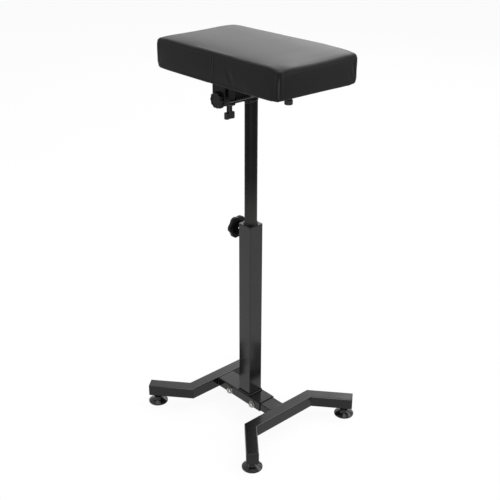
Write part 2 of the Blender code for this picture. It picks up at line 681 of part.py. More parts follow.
def make_post():
    post = rectangular_tube("post_tube", POST_SIDE, POST_SIDE, POST_CORNER, POST_WALL, POST_LENGTH, POWDER,
                            (0, 0, POST_BOTTOM + POST_LENGTH / 2), (0, 0, 0))
    weld_side = POST_SIDE + 2 * WELD_LEG
    opening_side = POST_SIDE + 2 * GAP
    weld = add_part("post_weld", prism(rounded_rectangle(weld_side, weld_side, POST_CORNER + WELD_LEG),
                                       WELD_LEG),
                    POWDER, (0, 0, POST_BOTTOM + WELD_LEG / 2))
    bevel_marked_edges(weld, WELD_LEG * 0.75, lambda a, b: a.z > 0 and b.z > 0)
    opening = add_cutter("post_weld_opening",
                         prism(rounded_rectangle(opening_side, opening_side, POST_CORNER + GAP),
                               WELD_LEG + 2 * OVERRUN),
                         (0, 0, POST_BOTTOM + WELD_LEG / 2))
    boolean(weld, opening)
    plug_side = POST_SIDE - 2 * (POST_WALL + GAP)
    plug_corner = max(POST_CORNER - POST_WALL, POST_WALL / 4)
    bush = add_part("post_bush", prism(rounded_rectangle(POST_SIDE, POST_SIDE, POST_CORNER), BUSH_FLANGE),
                    BUSH_PLASTIC, (0, 0, POST_TOP + GAP + BUSH_FLANGE / 2))
    plug = add_cutter("post_bush_plug",
                      prism(rounded_rectangle(plug_side, plug_side, plug_corner),
                            BUSH_DEPTH + BUSH_FLANGE / 2),
                      (0, 0, POST_TOP + GAP - BUSH_DEPTH / 2 + BUSH_FLANGE / 4))
    collar_height = BUSH_COLLAR_HEIGHT + BUSH_FLANGE / 2
    collar = add_cutter("post_bush_collar",
                        prism(circle(BUSH_COLLAR_RADIUS, FINE_SIDES), collar_height),
                        (0, 0, COLLAR_TOP - collar_height / 2))
    bevel_marked_edges(collar, BUSH_CHAMFER, lambda a, b: a.z > 0 and b.z > 0, 1)
    bore_depth = BUSH_DEPTH + BUSH_FLANGE + BUSH_COLLAR_HEIGHT + 2 * OVERRUN
    boolean(bush, plug, "UNION")
    boolean(bush, collar, "UNION")
    bore(bush, "post_bush_bore", MAST_RADIUS + RUNNING, bore_depth,
         (0, 0, COLLAR_TOP + OVERRUN - bore_depth), sides=FINE_SIDES)
    side = along((-1, 0, 0))
    for obj in (post, bush):
        bore(obj, f"{obj.name}_stud_hole", HEIGHT_STUD_RADIUS + GAP, POST_SIDE / 2 + OVERRUN,
             (0, 0, KNOB_HEIGHT), side)
    bore_radius = HEIGHT_STUD_RADIUS + GAP
    chamfer = BOSS_RADIUS / 8
    turned("knob_boss",
           [(bore_radius, BOSS_LENGTH), (BOSS_RADIUS - chamfer, BOSS_LENGTH),
            (BOSS_RADIUS, BOSS_LENGTH - chamfer), (BOSS_RADIUS, 0), (bore_radius, 0)],
           POWDER, (-POST_SIDE / 2 - GAP, 0, KNOB_HEIGHT), turn=side, sides=SMALL_SIDES, closed=True)


# Height knob with its stud

def make_height_knob():
    axis = add_empty("height_knob_axis", (KNOB_BACK, 0, KNOB_HEIGHT))
    side = along((-1, 0, 0))
    knob = add_part("height_knob",
                    prism(lobed(HEIGHT_KNOB_RADIUS, HEIGHT_KNOB_SCALLOP, HEIGHT_KNOB_LOBES, 8),
                          HEIGHT_KNOB_DEPTH),
                    KNOB_PLASTIC, (KNOB_BACK - HEIGHT_KNOB_DEPTH / 2, 0, KNOB_HEIGHT), axis, side)
    bevel_marked_edges(knob, HEIGHT_KNOB_EDGE, lambda a, b: a.z > 0 and b.z > 0, 3)
    hollow = add_cutter("height_knob_hollow",
                        cylinder_mesh(HEIGHT_KNOB_HOLLOW_RADIUS, HEIGHT_KNOB_HOLLOW + OVERRUN, ROUND_SIDES),
                        (KNOB_BACK + OVERRUN, 0, KNOB_HEIGHT), side)
    boolean(knob, hollow)
    rib_depth = HEIGHT_KNOB_HOLLOW - HEIGHT_KNOB_RIB + OVERRUN / 2
    rib_span = 2 * HEIGHT_KNOB_HOLLOW_RADIUS + HEIGHT_KNOB_RIB
    for i in range(HEIGHT_KNOB_LOBES // 2):
        angle = math.tau * (i + 0.5) / HEIGHT_KNOB_LOBES
        rib = add_cutter(f"height_knob_rib_{i}", box_mesh(HEIGHT_KNOB_RIB, rib_span, rib_depth),
                         (KNOB_BACK - HEIGHT_KNOB_RIB - rib_depth / 2, 0, KNOB_HEIGHT))
        rib.rotation_euler = (Matrix.Rotation(angle, 3, "X") @ side.to_matrix()).to_euler()
        boolean(knob, rib, "UNION")
    hub_length = HEIGHT_KNOB_HUB_PROUD + HEIGHT_KNOB_HOLLOW + OVERRUN / 2
    hub = add_cutter("height_knob_hub", cylinder_mesh(HEIGHT_KNOB_HUB_RADIUS, hub_length, ROUND_SIDES),
                     (KNOB_BACK + HEIGHT_KNOB_HUB_PROUD, 0, KNOB_HEIGHT), side)
    boolean(knob, hub, "UNION")
    bore(knob, "height_knob_bore", HEIGHT_STUD_RADIUS + GAP,
         HEIGHT_STUD_IN_KNOB + HEIGHT_KNOB_HUB_PROUD + OVERRUN,
         (KNOB_BACK + HEIGHT_KNOB_HUB_PROUD + OVERRUN, 0, KNOB_HEIGHT), side)
    tip = -MAST_RADIUS - GAP
    length = tip - (KNOB_BACK - HEIGHT_STUD_IN_KNOB) - GAP
    add_part("height_stud", cylinder_mesh(HEIGHT_STUD_RADIUS, length, SMALL_SIDES), ZINC,
             (tip, 0, KNOB_HEIGHT), axis, side)


# Slider, mast, arm and their small pieces

def make_mast():
    slider_side = POST_SIDE - 2 * (POST_WALL + RUNNING)
    slider_bottom = MAST_BOTTOM + GAP
    slider_axis = add_empty("slider_axis", (0, 0, slider_bottom))
    slider = add_part("slider_block", prism(rounded_rectangle(slider_side, slider_side, SLIDER_CORNER),
                                            SLIDER_HEIGHT),
                      BUSH_PLASTIC, (0, 0, slider_bottom + SLIDER_HEIGHT / 2), slider_axis)
    bore(slider, "slider_bore", MAST_RADIUS + RUNNING, SLIDER_HEIGHT + 2 * OVERRUN,
         (0, 0, slider_bottom - OVERRUN), sides=FINE_SIDES)
    axis = add_empty("mast_axis", (0, 0, 0))
    ring("mast_tube", MAST_RADIUS, MAST_RADIUS - MAST_WALL, MAST_TOP, MAST_BOTTOM, POWDER, axis)
    ring_bottom = slider_bottom + SLIDER_HEIGHT + GAP
    ring("mast_retaining_ring", RETAINER_RADIUS, MAST_RADIUS + GAP, ring_bottom + RETAINER_THICKNESS,
         ring_bottom, BLACK_STEEL, axis)
    inside = MAST_RADIUS - MAST_WALL - GAP
    flange_top = MAST_BOTTOM - GAP
    turned("mast_foot_plug",
           [(PLUG_HOLE_RADIUS, flange_top + PLUG_DEPTH), (inside, flange_top + PLUG_DEPTH),
            (inside, flange_top), (RETAINER_RADIUS, flange_top),
            (RETAINER_RADIUS, flange_top - PLUG_FLANGE), (PLUG_HOLE_RADIUS, flange_top - PLUG_FLANGE)],
           BUSH_PLASTIC, (0, 0, 0), axis, sides=FINE_SIDES, closed=True)
    arm = add_part("arm_bar", prism(stadium(ARM_WIDTH / 2, -ARM_REACH), ARM_THICKNESS), POWDER,
                   (0, 0, ARM_BOTTOM + ARM_THICKNESS / 2), axis)
    bevel_marked_edges(arm, ARM_EDGE, lambda a, b: abs(a.z - b.z) < WELD_DISTANCE)
    bore(arm, "arm_bar_hole", SWIVEL_STUD_RADIUS + GAP, ARM_THICKNESS + 2 * OVERRUN,
         (0, -ARM_REACH, ARM_BOTTOM - OVERRUN))
    make_arm_rib(axis)
    make_arm_weld(axis)


def make_arm_rib(axis):
    """The stiffening rib welded on the arm between the swivel head and the mast."""
    toe = RIB_HEIGHT * RIB_TOE_SHARE
    outline = [(0, 0), (RIB_LENGTH, 0), (RIB_LENGTH, toe), (RIB_LENGTH * RIB_FLAT_SHARE, RIB_HEIGHT),
               (0, RIB_HEIGHT)]
    turn = Matrix(((0, 0, 1), (1, 0, 0), (0, 1, 0))).to_euler()
    rib = add_part("arm_rib", prism(outline, RIB_THICKNESS), POWDER,
                   (0, RIB_TO_HEAD - ARM_REACH, ARM_TOP + GAP), axis, turn)
    bevel_marked_edges(rib, ARM_EDGE / 2, lambda a, b: a.y > toe / 2 and b.y > toe / 2)


def make_arm_weld(axis):
    """The weld under the arm, deepest on the side that the arm leans out to."""
    top = ARM_BOTTOM - GAP
    weld = turned("arm_weld",
                  [(MAST_RADIUS + GAP, top), (ARM_WELD_RADIUS, top),
                   (ARM_WELD_RADIUS, top - ARM_WELD_DEPTH / 4),
                   (MAST_RADIUS + 4 * GAP, top - ARM_WELD_DEPTH),
                   (MAST_RADIUS + GAP, top - ARM_WELD_DEPTH)],
                  POWDER, (0, 0, 0), axis, sides=FINE_SIDES, closed=True)
    size = 4 * ARM_WELD_RADIUS
    low = top - ARM_WELD_DEPTH
    trim = add_cutter("arm_weld_trim", box_mesh(size, size, size), turn=(ARM_WELD_SLOPE, 0, 0))
    normal = Matrix.Rotation(ARM_WELD_SLOPE, 3, "X") @ Vector((0, 0, 1))
    edge = Vector((0, -MAST_RADIUS, low + ARM_WELD_DEPTH / 8))
    trim.location = edge - normal * (size / 2)
    boolean(weld, trim)


# Swivel head on the arm's end, its washer and its wing screw

def make_head():
    centre = (0, -ARM_REACH)
    axis = add_empty("head_axis", (*centre, HEAD_BOTTOM))
    block = add_part("head_block", box_mesh(HEAD_WIDTH, HEAD_DEPTH, HEAD_HEIGHT), POWDER,
                     (*centre, HEAD_BOTTOM + HEAD_HEIGHT / 2), axis)
    bevel(block, HEAD_EDGE, 2)
    seat = add_cutter("head_seat", cylinder_mesh(HEAD_SEAT_RADIUS, HEAD_SEAT, ROUND_SIDES),
                      (*centre, HEAD_BOTTOM))
    boolean(block, seat, "UNION")
    forward = along((0, -1, 0))
    hub = add_cutter("head_hub", cylinder_mesh(HUB_RADIUS, HUB_THICKNESS, ROUND_SIDES),
                     (0, HUB_BACK, PIVOT_HEIGHT), forward)
    relief = add_cutter("head_hub_relief",
                        cylinder_mesh(HUB_RELIEF_RADIUS, HUB_RELIEF + OVERRUN, ROUND_SIDES),
                        (0, HUB_FACE + HUB_RELIEF, PIVOT_HEIGHT), forward)
    boolean(hub, relief)
    neck_bottom = HEAD_BOTTOM
    neck_top = PIVOT_HEIGHT + HUB_RADIUS * 0.8
    neck_back = -ARM_REACH
    neck_front = HUB_BACK - HUB_THICKNESS / 4
    neck = add_cutter("head_neck",
                      box_mesh(HEAD_WIDTH - 2 * HEAD_EDGE, neck_back - neck_front, neck_top - neck_bottom),
                      (0, (neck_back + neck_front) / 2, (neck_top + neck_bottom) / 2))
    boolean(block, neck, "UNION")
    boolean(block, hub, "UNION")
    bore(block, "swivel_stud_hole", SWIVEL_STUD_RADIUS + GAP, SWIVEL_STUD_IN_HEAD + OVERRUN,
         (*centre, HEAD_BOTTOM - OVERRUN))
    bore(block, "tilt_stud_hole", TILT_STUD_RADIUS + GAP, TILT_STUD_IN_HEAD + OVERRUN,
         (0, HUB_FACE + TILT_STUD_IN_HEAD, PIVOT_HEIGHT), forward)


def make_swivel_screw():
    centre = (0, -ARM_REACH)
    washer_top = ARM_BOTTOM - GAP
    washer_bottom = washer_top - WASHER_THICKNESS
    axis = add_empty("swivel_screw_axis", (*centre, washer_bottom))
    edge = WASHER_THICKNESS / 5
    hole = SWIVEL_STUD_RADIUS + GAP
    turned("swivel_washer",
           [(hole, washer_top), (WASHER_RADIUS, washer_top), (WASHER_RADIUS, washer_bottom + edge),
            (WASHER_RADIUS - edge, washer_bottom), (hole, washer_bottom)],
           BLACK_STEEL, (*centre, 0), axis, closed=True)
    stud_top = HEAD_BOTTOM + SWIVEL_STUD_IN_HEAD - GAP
    knob_top = washer_bottom - SWIVEL_STUD_SHOWN
    stud_bottom = knob_top - WING_BORE_DEPTH + GAP
    add_part("swivel_stud", cylinder_mesh(SWIVEL_STUD_RADIUS, stud_top - stud_bottom, SMALL_SIDES),
             BLACK_STEEL, (*centre, stud_bottom), axis)
    wing_middle = knob_top - WING_NECK - WING_HEIGHT / 2
    lobe = WING_SPAN / 2 - WING_LOBE_RADIUS
    waist = WING_WAIST / 2
    side = math.acos(waist / WING_LOBE_RADIUS)
    front = arc((0, -lobe), WING_LOBE_RADIUS, math.pi - side, math.tau + side, 10)
    back = arc((0, lobe), WING_LOBE_RADIUS, -side, math.pi + side, 10)
    knob = add_part("swivel_knob", prism(front + back, WING_HEIGHT), KNOB_PLASTIC,
                    (*centre, wing_middle), axis)
    bevel_marked_edges(knob, WING_EDGE, lambda a, b: abs(a.z - b.z) < WELD_DISTANCE)
    neck = add_cutter("swivel_knob_neck",
                      cylinder_mesh(WING_NECK_RADIUS, WING_NECK + WING_HEIGHT / 2, SMALL_SIDES),
                      (*centre, wing_middle))
    boolean(knob, neck, "UNION")
    bore(knob, "swivel_knob_bore", SWIVEL_STUD_RADIUS + GAP, WING_BORE_DEPTH + OVERRUN,
         (*centre, knob_top - WING_BORE_DEPTH))


# Tilt bracket, its screws, the tilt knob, the board, the cushion and the buffer

def make_tilt_bracket(axis):
    length = BRACKET_LENGTH
    strap = [(EAR_FACE, STRAP_TOP), (EAR_FACE, PIVOT_HEIGHT), (EAR_BACK, PIVOT_HEIGHT),
             (EAR_BACK, STRAP_BOTTOM), (EAR_FACE + length, STRAP_BOTTOM), (EAR_FACE + length, STRAP_TOP)]
    profile = [(y - EAR_FACE, z - PIVOT_HEIGHT) for y, z in strap]
    mesh = prism(profile, BRACKET_WIDTH)
    turn = Matrix(((0, 0, 1), (1, 0, 0), (0, 1, 0))).to_euler()
    bracket = add_part("tilt_bracket", mesh, POWDER, (0, EAR_FACE, PIVOT_HEIGHT), axis, turn)
    rise = STRAP_TOP - PIVOT_HEIGHT

    def is_outer_bend(first, second):
        return all(abs(p.x) < WELD_DISTANCE and abs(p.y - rise) < WELD_DISTANCE for p in (first, second))

    bevel_marked_edges(bracket, BRACKET_BEND, is_outer_bend, 4)
    forward = along((0, -1, 0))
    ear = add_cutter("tilt_bracket_ear",
                     cylinder_mesh(BRACKET_WIDTH / 2, BRACKET_THICKNESS, FINE_SIDES),
                     (0, EAR_BACK, PIVOT_HEIGHT), forward)
    boolean(bracket, ear, "UNION")
    bore(bracket, "tilt_bracket_hole", TILT_STUD_RADIUS + RUNNING, BRACKET_THICKNESS + 2 * OVERRUN,
         (0, EAR_BACK + OVERRUN, PIVOT_HEIGHT), forward)
    return bracket


def make_bracket_screws(axis, bracket, board):
    for i, share in enumerate(SCREW_PLACE_SHARES, 1):
        y = EAR_FACE + BRACKET_LENGTH * share
        head_top = STRAP_BOTTOM - GAP
        tip = STRAP_TOP + SCREW_GRIP - head_top
        screw = turned(f"bracket_screw_{i}",
                       [(0, tip), (SCREW_SHANK_RADIUS / 2, tip),
                        (SCREW_SHANK_RADIUS, tip - SCREW_SHANK_RADIUS), (SCREW_SHANK_RADIUS, 0),
                        (SCREW_HEAD_RADIUS, 0), (SCREW_HEAD_RADIUS, -SCREW_HEAD_HEIGHT / 2),
                        (SCREW_HEAD_RADIUS * 0.75, -SCREW_HEAD_HEIGHT),
                        (0, -SCREW_HEAD_HEIGHT)],
                       ZINC, (0, y, head_top), axis, sides=16)
        slot = add_cutter(f"bracket_screw_slot_{i}",
                          box_mesh(3 * SCREW_HEAD_RADIUS, SCREW_SLOT_WIDTH, 2 * SCREW_SLOT_DEPTH),
                          (0, y, head_top - SCREW_HEAD_HEIGHT))
        boolean(screw, slot)
        for obj in (bracket, board):
            bore(obj, f"{obj.name}_screw_hole_{i}", SCREW_SHANK_RADIUS + GAP,
                 SCREW_GRIP + BRACKET_THICKNESS + 2 * OVERRUN, (0, y, STRAP_BOTTOM - OVERRUN), sides=16)


def make_tilt_knob():
    axis = add_empty("tilt_knob_axis", (0, EAR_FACE, PIVOT_HEIGHT))
    forward = along((0, -1, 0))
    back = EAR_FACE - GAP
    knob = add_part("tilt_knob",
                    prism(lobed(TILT_KNOB_RADIUS, TILT_KNOB_SCALLOP, TILT_KNOB_LOBES),
                          TILT_KNOB_THICKNESS),
                    KNOB_PLASTIC, (0, back - TILT_KNOB_THICKNESS / 2, PIVOT_HEIGHT), axis, forward)
    bevel_marked_edges(knob, TILT_KNOB_EDGE, lambda a, b: a.z > 0 and b.z > 0, 2)
    dish = add_cutter("tilt_knob_dish",
                      cylinder_mesh(TILT_KNOB_DISH_RADIUS, TILT_KNOB_DISH + OVERRUN, ROUND_SIDES),
                      (0, back - TILT_KNOB_THICKNESS + TILT_KNOB_DISH, PIVOT_HEIGHT), forward)
    boolean(knob, dish)
    bore(knob, "tilt_knob_bore", TILT_STUD_RADIUS + GAP, TILT_STUD_IN_KNOB + OVERRUN,
         (0, back + OVERRUN, PIVOT_HEIGHT), forward)
    start = HUB_FACE + TILT_STUD_IN_HEAD - GAP
    end = back - TILT_STUD_IN_KNOB + GAP
    add_part("tilt_stud", cylinder_mesh(TILT_STUD_RADIUS, start - end, SMALL_SIDES), ZINC,
             (0, start, PIVOT_HEIGHT), axis, forward)


def both_sides(shares):
    return [-share for share in reversed(shares[1:])] + list(shares)


def make_cushion(axis):
    """A crowned pad whose sides draw in to its lower rim, from a coarse cage made smooth."""
    columns = both_sides(CUSHION_X_SHARES)
    rows = both_sides(CUSHION_Y_SHARES)
    layers = list(CUSHION_Z_SHARES)
    bm = bmesh.new()
    bmesh.ops.create_cube(bm, size=2.0)
    for direction, cuts in ((0, len(columns) - 2), (1, len(rows) - 2), (2, len(layers) - 2)):
        edges = [e for e in bm.edges if abs((e.verts[0].co - e.verts[1].co)[direction]) > 0.5]
        bmesh.ops.subdivide_edges(bm, edges=edges, cuts=cuts, use_grid_fill=True)
    for vert in bm.verts:
        u = columns[round((vert.co.x + 1) / 2 * (len(columns) - 1))]
        v = rows[round((vert.co.y + 1) / 2 * (len(rows) - 1))]
        w = layers[round((vert.co.z + 1) / 2 * (len(layers) - 1))]
        vert.co = cushion_point(u, v, w)
    mesh = bpy.data.meshes.new("pad_cushion")
    bm.to_mesh(mesh)
    bm.free()
    mesh.shade_smooth()
    cushion = add_part("pad_cushion", mesh, LEATHERETTE, (PAD_ALONG, PAD_ACROSS, BOARD_BOTTOM), axis)
    smooth = cushion.modifiers.new("smooth", "SUBSURF")
    smooth.levels = 1
    smooth.render_levels = 1
    flat = add_cutter("cushion_underside",
                      box_mesh(2 * CUSHION_TOP_LENGTH, 2 * CUSHION_TOP_WIDTH, CUSHION_HEIGHT),
                      (PAD_ALONG, PAD_ACROSS, BOARD_BOTTOM - CUSHION_HEIGHT / 2))
    boolean(cushion, flat)
    pocket_depth = BOARD_THICKNESS + GAP
    pocket = add_cutter("cushion_pocket",
                        prism(rounded_rectangle(BOARD_LENGTH + 2 * GAP, BOARD_WIDTH + 2 * GAP,
                                                BOARD_CORNER + GAP), pocket_depth + OVERRUN),
                        (PAD_ALONG, PAD_ACROSS, BOARD_BOTTOM + (pocket_depth - OVERRUN) / 2))
    boolean(cushion, pocket)


def cushion_point(u, v, w):
    """Place a cage point: u and v run from -1 to 1 over the plan, w from 0 to 1 upwards."""
    draw = (1 - w) ** 1.5
    half_x = CUSHION_TOP_LENGTH / 2 - draw * (CUSHION_TOP_LENGTH - CUSHION_BOTTOM_LENGTH) / 2
    half_y = CUSHION_TOP_WIDTH / 2 - draw * (CUSHION_TOP_WIDTH - CUSHION_BOTTOM_WIDTH) / 2
    top_fold = CUSHION_FOLD_RADIUS / 2 if w == 1 else 0.0
    x = u * (half_x - top_fold) + SEAM_ALONG * max(0.0, 1 - abs(u) / SEAM_REACH_SHARE)
    y = v * (half_y - top_fold)
    corner = (max(0.0, abs(u) - CORNER_X_SHARE) / (1 - CORNER_X_SHARE)
              * max(0.0, abs(v) - CORNER_Y_SHARE) / (1 - CORNER_Y_SHARE))
    x -= math.copysign(CUSHION_CORNER * corner * w, u)
    y -= math.copysign(CUSHION_CORNER * corner * w, v)
    waist = CUSHION_DRAW_IN * math.sin(math.pi * w)
    if abs(v) == 1:
        y -= math.copysign(waist * (1 - u * u), v)
        if u == 0 and w < 1:
            y -= math.copysign(CUSHION_SEAM, v)
    if abs(u) == 1:
        x -= math.copysign(waist * (1 - v * v), u)
    z = w * CUSHION_HEIGHT
    if w == 1:
        z += CUSHION_CROWN * (1 - u * u) * (1 - v * v) - CUSHION_CORNER_DROP * corner
    if w == 0:
        z = -CUSHION_FOLD_RADIUS / 4
    return x, y, z


def make_pad():
    axis = add_empty("tilt_axis", (0, EAR_BACK, PIVOT_HEIGHT))
    bracket = make_tilt_bracket(axis)
    board = add_part("pad_board",
                     prism(rounded_rectangle(BOARD_LENGTH, BOARD_WIDTH, BOARD_CORNER), BOARD_THICKNESS),
                     PLYWOOD, (PAD_ALONG, PAD_ACROSS, BOARD_BOTTOM + BOARD_THICKNESS / 2), axis)
    make_bracket_screws(axis, bracket, board)
    make_cushion(axis)
    stem_top = BOARD_BOTTOM - GAP
    stem_bottom = stem_top - BUFFER_STEM
    groove = BUFFER_GROOVE
    turned("buffer_stem",
           [(0, stem_top), (BUFFER_STEM_RADIUS, stem_top), (BUFFER_STEM_RADIUS, stem_bottom + groove),
            (BUFFER_STEM_RADIUS - groove, stem_bottom), (0, stem_bottom)],
           BLACK_STEEL, (BUFFER_X, 0, 0), axis, sides=24)
    tip_top = stem_bottom - GAP
    tip_bottom = tip_top - BUFFER_TIP
    turned("buffer_tip",
           [(0, tip_top), (BUFFER_RADIUS - groove, tip_top), (BUFFER_RADIUS, tip_top - groove),
            (BUFFER_RADIUS, tip_bottom + BUFFER_TIP_EDGE),
            (BUFFER_RADIUS - BUFFER_TIP_EDGE / 3, tip_bottom + BUFFER_TIP_EDGE / 3),
            (BUFFER_RADIUS - BUFFER_TIP_EDGE, tip_bottom), (0, tip_bottom)],
           RUBBER, (BUFFER_X, 0, 0), axis, sides=24)


make_base()
make_post()
make_height_knob()
make_mast()
make_head()
make_swivel_screw()
make_tilt_knob()
make_pad()
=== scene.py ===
import math
import random

import bmesh
import bpy
import numpy as np
from mathutils import Matrix, Vector, noise
from mathutils.bvhtree import BVHTree


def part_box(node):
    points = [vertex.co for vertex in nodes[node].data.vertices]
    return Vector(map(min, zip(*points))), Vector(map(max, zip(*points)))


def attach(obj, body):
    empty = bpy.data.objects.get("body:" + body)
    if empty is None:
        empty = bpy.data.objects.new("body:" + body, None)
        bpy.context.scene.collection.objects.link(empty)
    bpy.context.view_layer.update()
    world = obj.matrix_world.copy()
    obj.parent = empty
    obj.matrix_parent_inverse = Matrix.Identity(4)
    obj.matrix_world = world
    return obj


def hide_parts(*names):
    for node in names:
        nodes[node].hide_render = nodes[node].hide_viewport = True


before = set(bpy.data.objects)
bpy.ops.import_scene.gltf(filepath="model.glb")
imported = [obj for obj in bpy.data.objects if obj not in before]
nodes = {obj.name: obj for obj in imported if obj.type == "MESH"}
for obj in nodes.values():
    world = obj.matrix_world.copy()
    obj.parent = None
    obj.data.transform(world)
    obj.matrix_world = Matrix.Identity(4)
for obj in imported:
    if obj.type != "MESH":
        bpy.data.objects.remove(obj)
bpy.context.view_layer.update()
random.seed(7)

UP = Vector((0, 0, 1))
WHITE = (1, 1, 1, 1)
FEET = ("left_front", "left_rear", "right_front", "right_rear")


# Places read from the CAD nodes

BOARD_LOW, BOARD_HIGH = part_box("pad_board")
PAD_LOW, PAD_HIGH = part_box("pad_cushion")
PAD_MID = (PAD_LOW + PAD_HIGH) / 2
PAD_HALF = (PAD_HIGH - PAD_LOW) / 2
UNDERSIDE = BOARD_LOW.z
RIM = [v.co - PAD_MID for v in nodes["pad_cushion"].data.vertices if v.co.z < UNDERSIDE + 0.0004]
RIM_HALF = (max(co.x for co in RIM), max(co.y for co in RIM))
ARM_LOW, ARM_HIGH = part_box("arm_bar")


# Material building

class Shader:
    """A Principled material whose roughness, colour and bump come from noise in object space."""

    def __init__(self, name, **values):
        self.material = bpy.data.materials.new(name)
        self.material.use_nodes = True
        self.tree = self.material.node_tree
        self.shader = self.tree.nodes["Principled BSDF"]
        self.coords = self.node("ShaderNodeTexCoord", {}).outputs["Object"]
        self.normal = None
        for socket, value in values.items():
            self.shader.inputs[socket.replace("_", " ")].default_value = value

    def node(self, kind, links, **values):
        """A new node, with its links and the values of its sockets, which are named in lower case."""
        made = self.tree.nodes.new(kind)
        for socket, source in links.items():
            self.tree.links.new(source, made.inputs[socket])
        for key, value in values.items():
            made.inputs[key.replace("_", " ").title()].default_value = value
        return made

    def fill(self, made, sockets):
        """Give each numbered socket its value, or the link that it is given instead."""
        for socket, value in sockets:
            if isinstance(value, bpy.types.NodeSocket):
                self.tree.links.new(value, made.inputs[socket])
            else:
                made.inputs[socket].default_value = value

    def axes(self):
        return self.node("ShaderNodeSeparateXYZ", {0: self.coords}).outputs

    def stretched(self, scale):
        return self.node("ShaderNodeMapping", {"Vector": self.coords}, scale=scale).outputs["Vector"]

    def noise(self, scale, detail=3.0, roughness=0.55, coords=None):
        return self.node("ShaderNodeTexNoise", {"Vector": coords or self.coords}, scale=scale, detail=detail,
                         roughness=roughness).outputs["Fac"]

    def cells(self, scale, coords):
        made = self.node("ShaderNodeTexVoronoi", {"Vector": coords})
        made.feature = "DISTANCE_TO_EDGE"
        made.inputs["Scale"].default_value = scale
        return made.outputs["Distance"]

    def warped(self, amount, scale):
        """Object coordinates pushed about by a slow noise."""
        push = self.node("ShaderNodeTexNoise", {"Vector": self.coords}, scale=scale)
        add = self.node("ShaderNodeVectorMath", {})
        add.operation = "MULTIPLY_ADD"
        self.fill(add, ((0, push.outputs["Color"]), (1, (amount, amount, amount)), (2, self.coords)))
        return add.outputs["Vector"]

    def span(self, source, low, high, to_low, to_high):
        made = self.node("ShaderNodeMapRange", {"Value": source}, from_min=low, from_max=high, to_min=to_low,
                         to_max=to_high)
        made.interpolation_type = "SMOOTHSTEP"
        return made.outputs["Result"]

    def math(self, operation, first, second):
        made = self.node("ShaderNodeMath", {})
        made.operation = operation
        self.fill(made, ((0, first), (1, second)))
        return made.outputs["Value"]

    def mix(self, factor, first, second):
        """One of two colours by the factor. A colour is a link or three numbers."""
        made = self.node("ShaderNodeMix", {0: factor})
        made.data_type = "RGBA"
        self.fill(made, [(socket, (*value, 1) if isinstance(value, tuple) else value)
                         for socket, value in ((6, first), (7, second))])
        return made.outputs[2]

    def bump(self, height, distance, strength):
        made = self.node("ShaderNodeBump", {"Height": height}, distance=distance, strength=strength)
        if self.normal is not None:
            self.tree.links.new(self.normal, made.inputs["Normal"])
        self.normal = made.outputs["Normal"]
        self.tree.links.new(self.normal, self.shader.inputs["Normal"])

    def colour(self, source):
        self.tree.links.new(source, self.shader.inputs["Base Color"])

    def roughness(self, source):
        self.tree.links.new(source, self.shader.inputs["Roughness"])


# Painted light: the lighter tone painted on the mast below the pad's shade.
PAINTED_LIGHT_TONE = (0.030, 0.0295, 0.029)
# Painted highlight: the grey laid along a bar's upper edges.
PAINTED_HIGHLIGHT_TONE = (0.34, 0.335, 0.33)
# The painted highlight strips run beside a bar's upper edges: how far in they start and end, and how far down.
HIGHLIGHT_INSET = (0.009, 0.006)
HIGHLIGHT_DEPTH = (0.0012, 0.0004)


def powder_coat(name, shade, rough, ior, painted_light_heights=None, painted_highlight_edge=None):
    """Black powder coat.

    painted_light_heights: the heights between which it fades from a lighter tone below to the plain coat above,
    painted light standing in for the shade that falls on the part above.
    painted_highlight_edge: the half width and top of a bar whose upper edges get a patchy grey painted
    highlight.
    """
    made = Shader(name, Metallic=0.0, IOR=ior)
    peel = made.noise(620, 2.0, 0.45)
    slow = made.noise(9, 3.0)
    dust = made.noise(2600, 2.0, 0.7)
    tone = made.mix(made.span(slow, 0.3, 0.7, 0, 1), (shade * 0.85,) * 3,
                    (shade * 1.2, shade * 1.2, shade * 1.24))
    # Painted light: lighter below the first height, fading to the plain coat by the second.
    if painted_light_heights:
        tone = made.mix(made.span(made.axes()[2], *painted_light_heights, 1.0, 0.0), tone, PAINTED_LIGHT_TONE)
    # Painted highlight: a patchy grey strip along the bar's upper edges, mixed over the tone.
    if painted_highlight_edge:
        half_width, top = painted_highlight_edge
        across, _, height = made.axes()
        edge = made.span(made.math("ABSOLUTE", across, 0), *(half_width - inset for inset in HIGHLIGHT_INSET), 0, 1)
        edge = made.math("MULTIPLY", edge, made.span(height, *(top - depth for depth in HIGHLIGHT_DEPTH), 0, 1))
        patchy = made.span(made.noise(150, 4.0, 0.7), 0.35, 0.55, 0.6, 1.0)
        tone = made.mix(made.math("MULTIPLY", edge, patchy), tone, PAINTED_HIGHLIGHT_TONE)
    made.colour(tone)
    made.roughness(made.math("ADD", made.span(slow, 0.25, 0.75, rough, rough + 0.05),
                             made.span(dust, 0.55, 0.8, 0.0, 0.08)))
    made.bump(peel, 0.00003, 0.5)
    made.bump(dust, 0.000012, 0.5)
    return made.material


def weld_coat(name):
    made = Shader(name, Metallic=0.0, IOR=1.3)
    lump = made.noise(420, 4.0, 0.6)
    made.colour(made.mix(made.span(lump, 0.3, 0.7, 0, 1), (0.006,) * 3, (0.011,) * 3))
    made.roughness(made.span(lump, 0.3, 0.7, 0.26, 0.40))
    made.bump(lump, 0.00025, 0.7)
    return made.material


def zinc(name, light=(0.62, 0.63, 0.64), dull=(0.50, 0.49, 0.46)):
    made = Shader(name, Metallic=1.0)
    grain = made.noise(1500, 4.0, 0.7)
    slow = made.noise(160, 3.0)
    made.colour(made.mix(made.span(slow, 0.3, 0.7, 0, 1), light, dull))
    made.roughness(made.span(grain, 0.3, 0.75, 0.18, 0.36))
    made.bump(grain, 0.00002, 0.6)
    return made.material


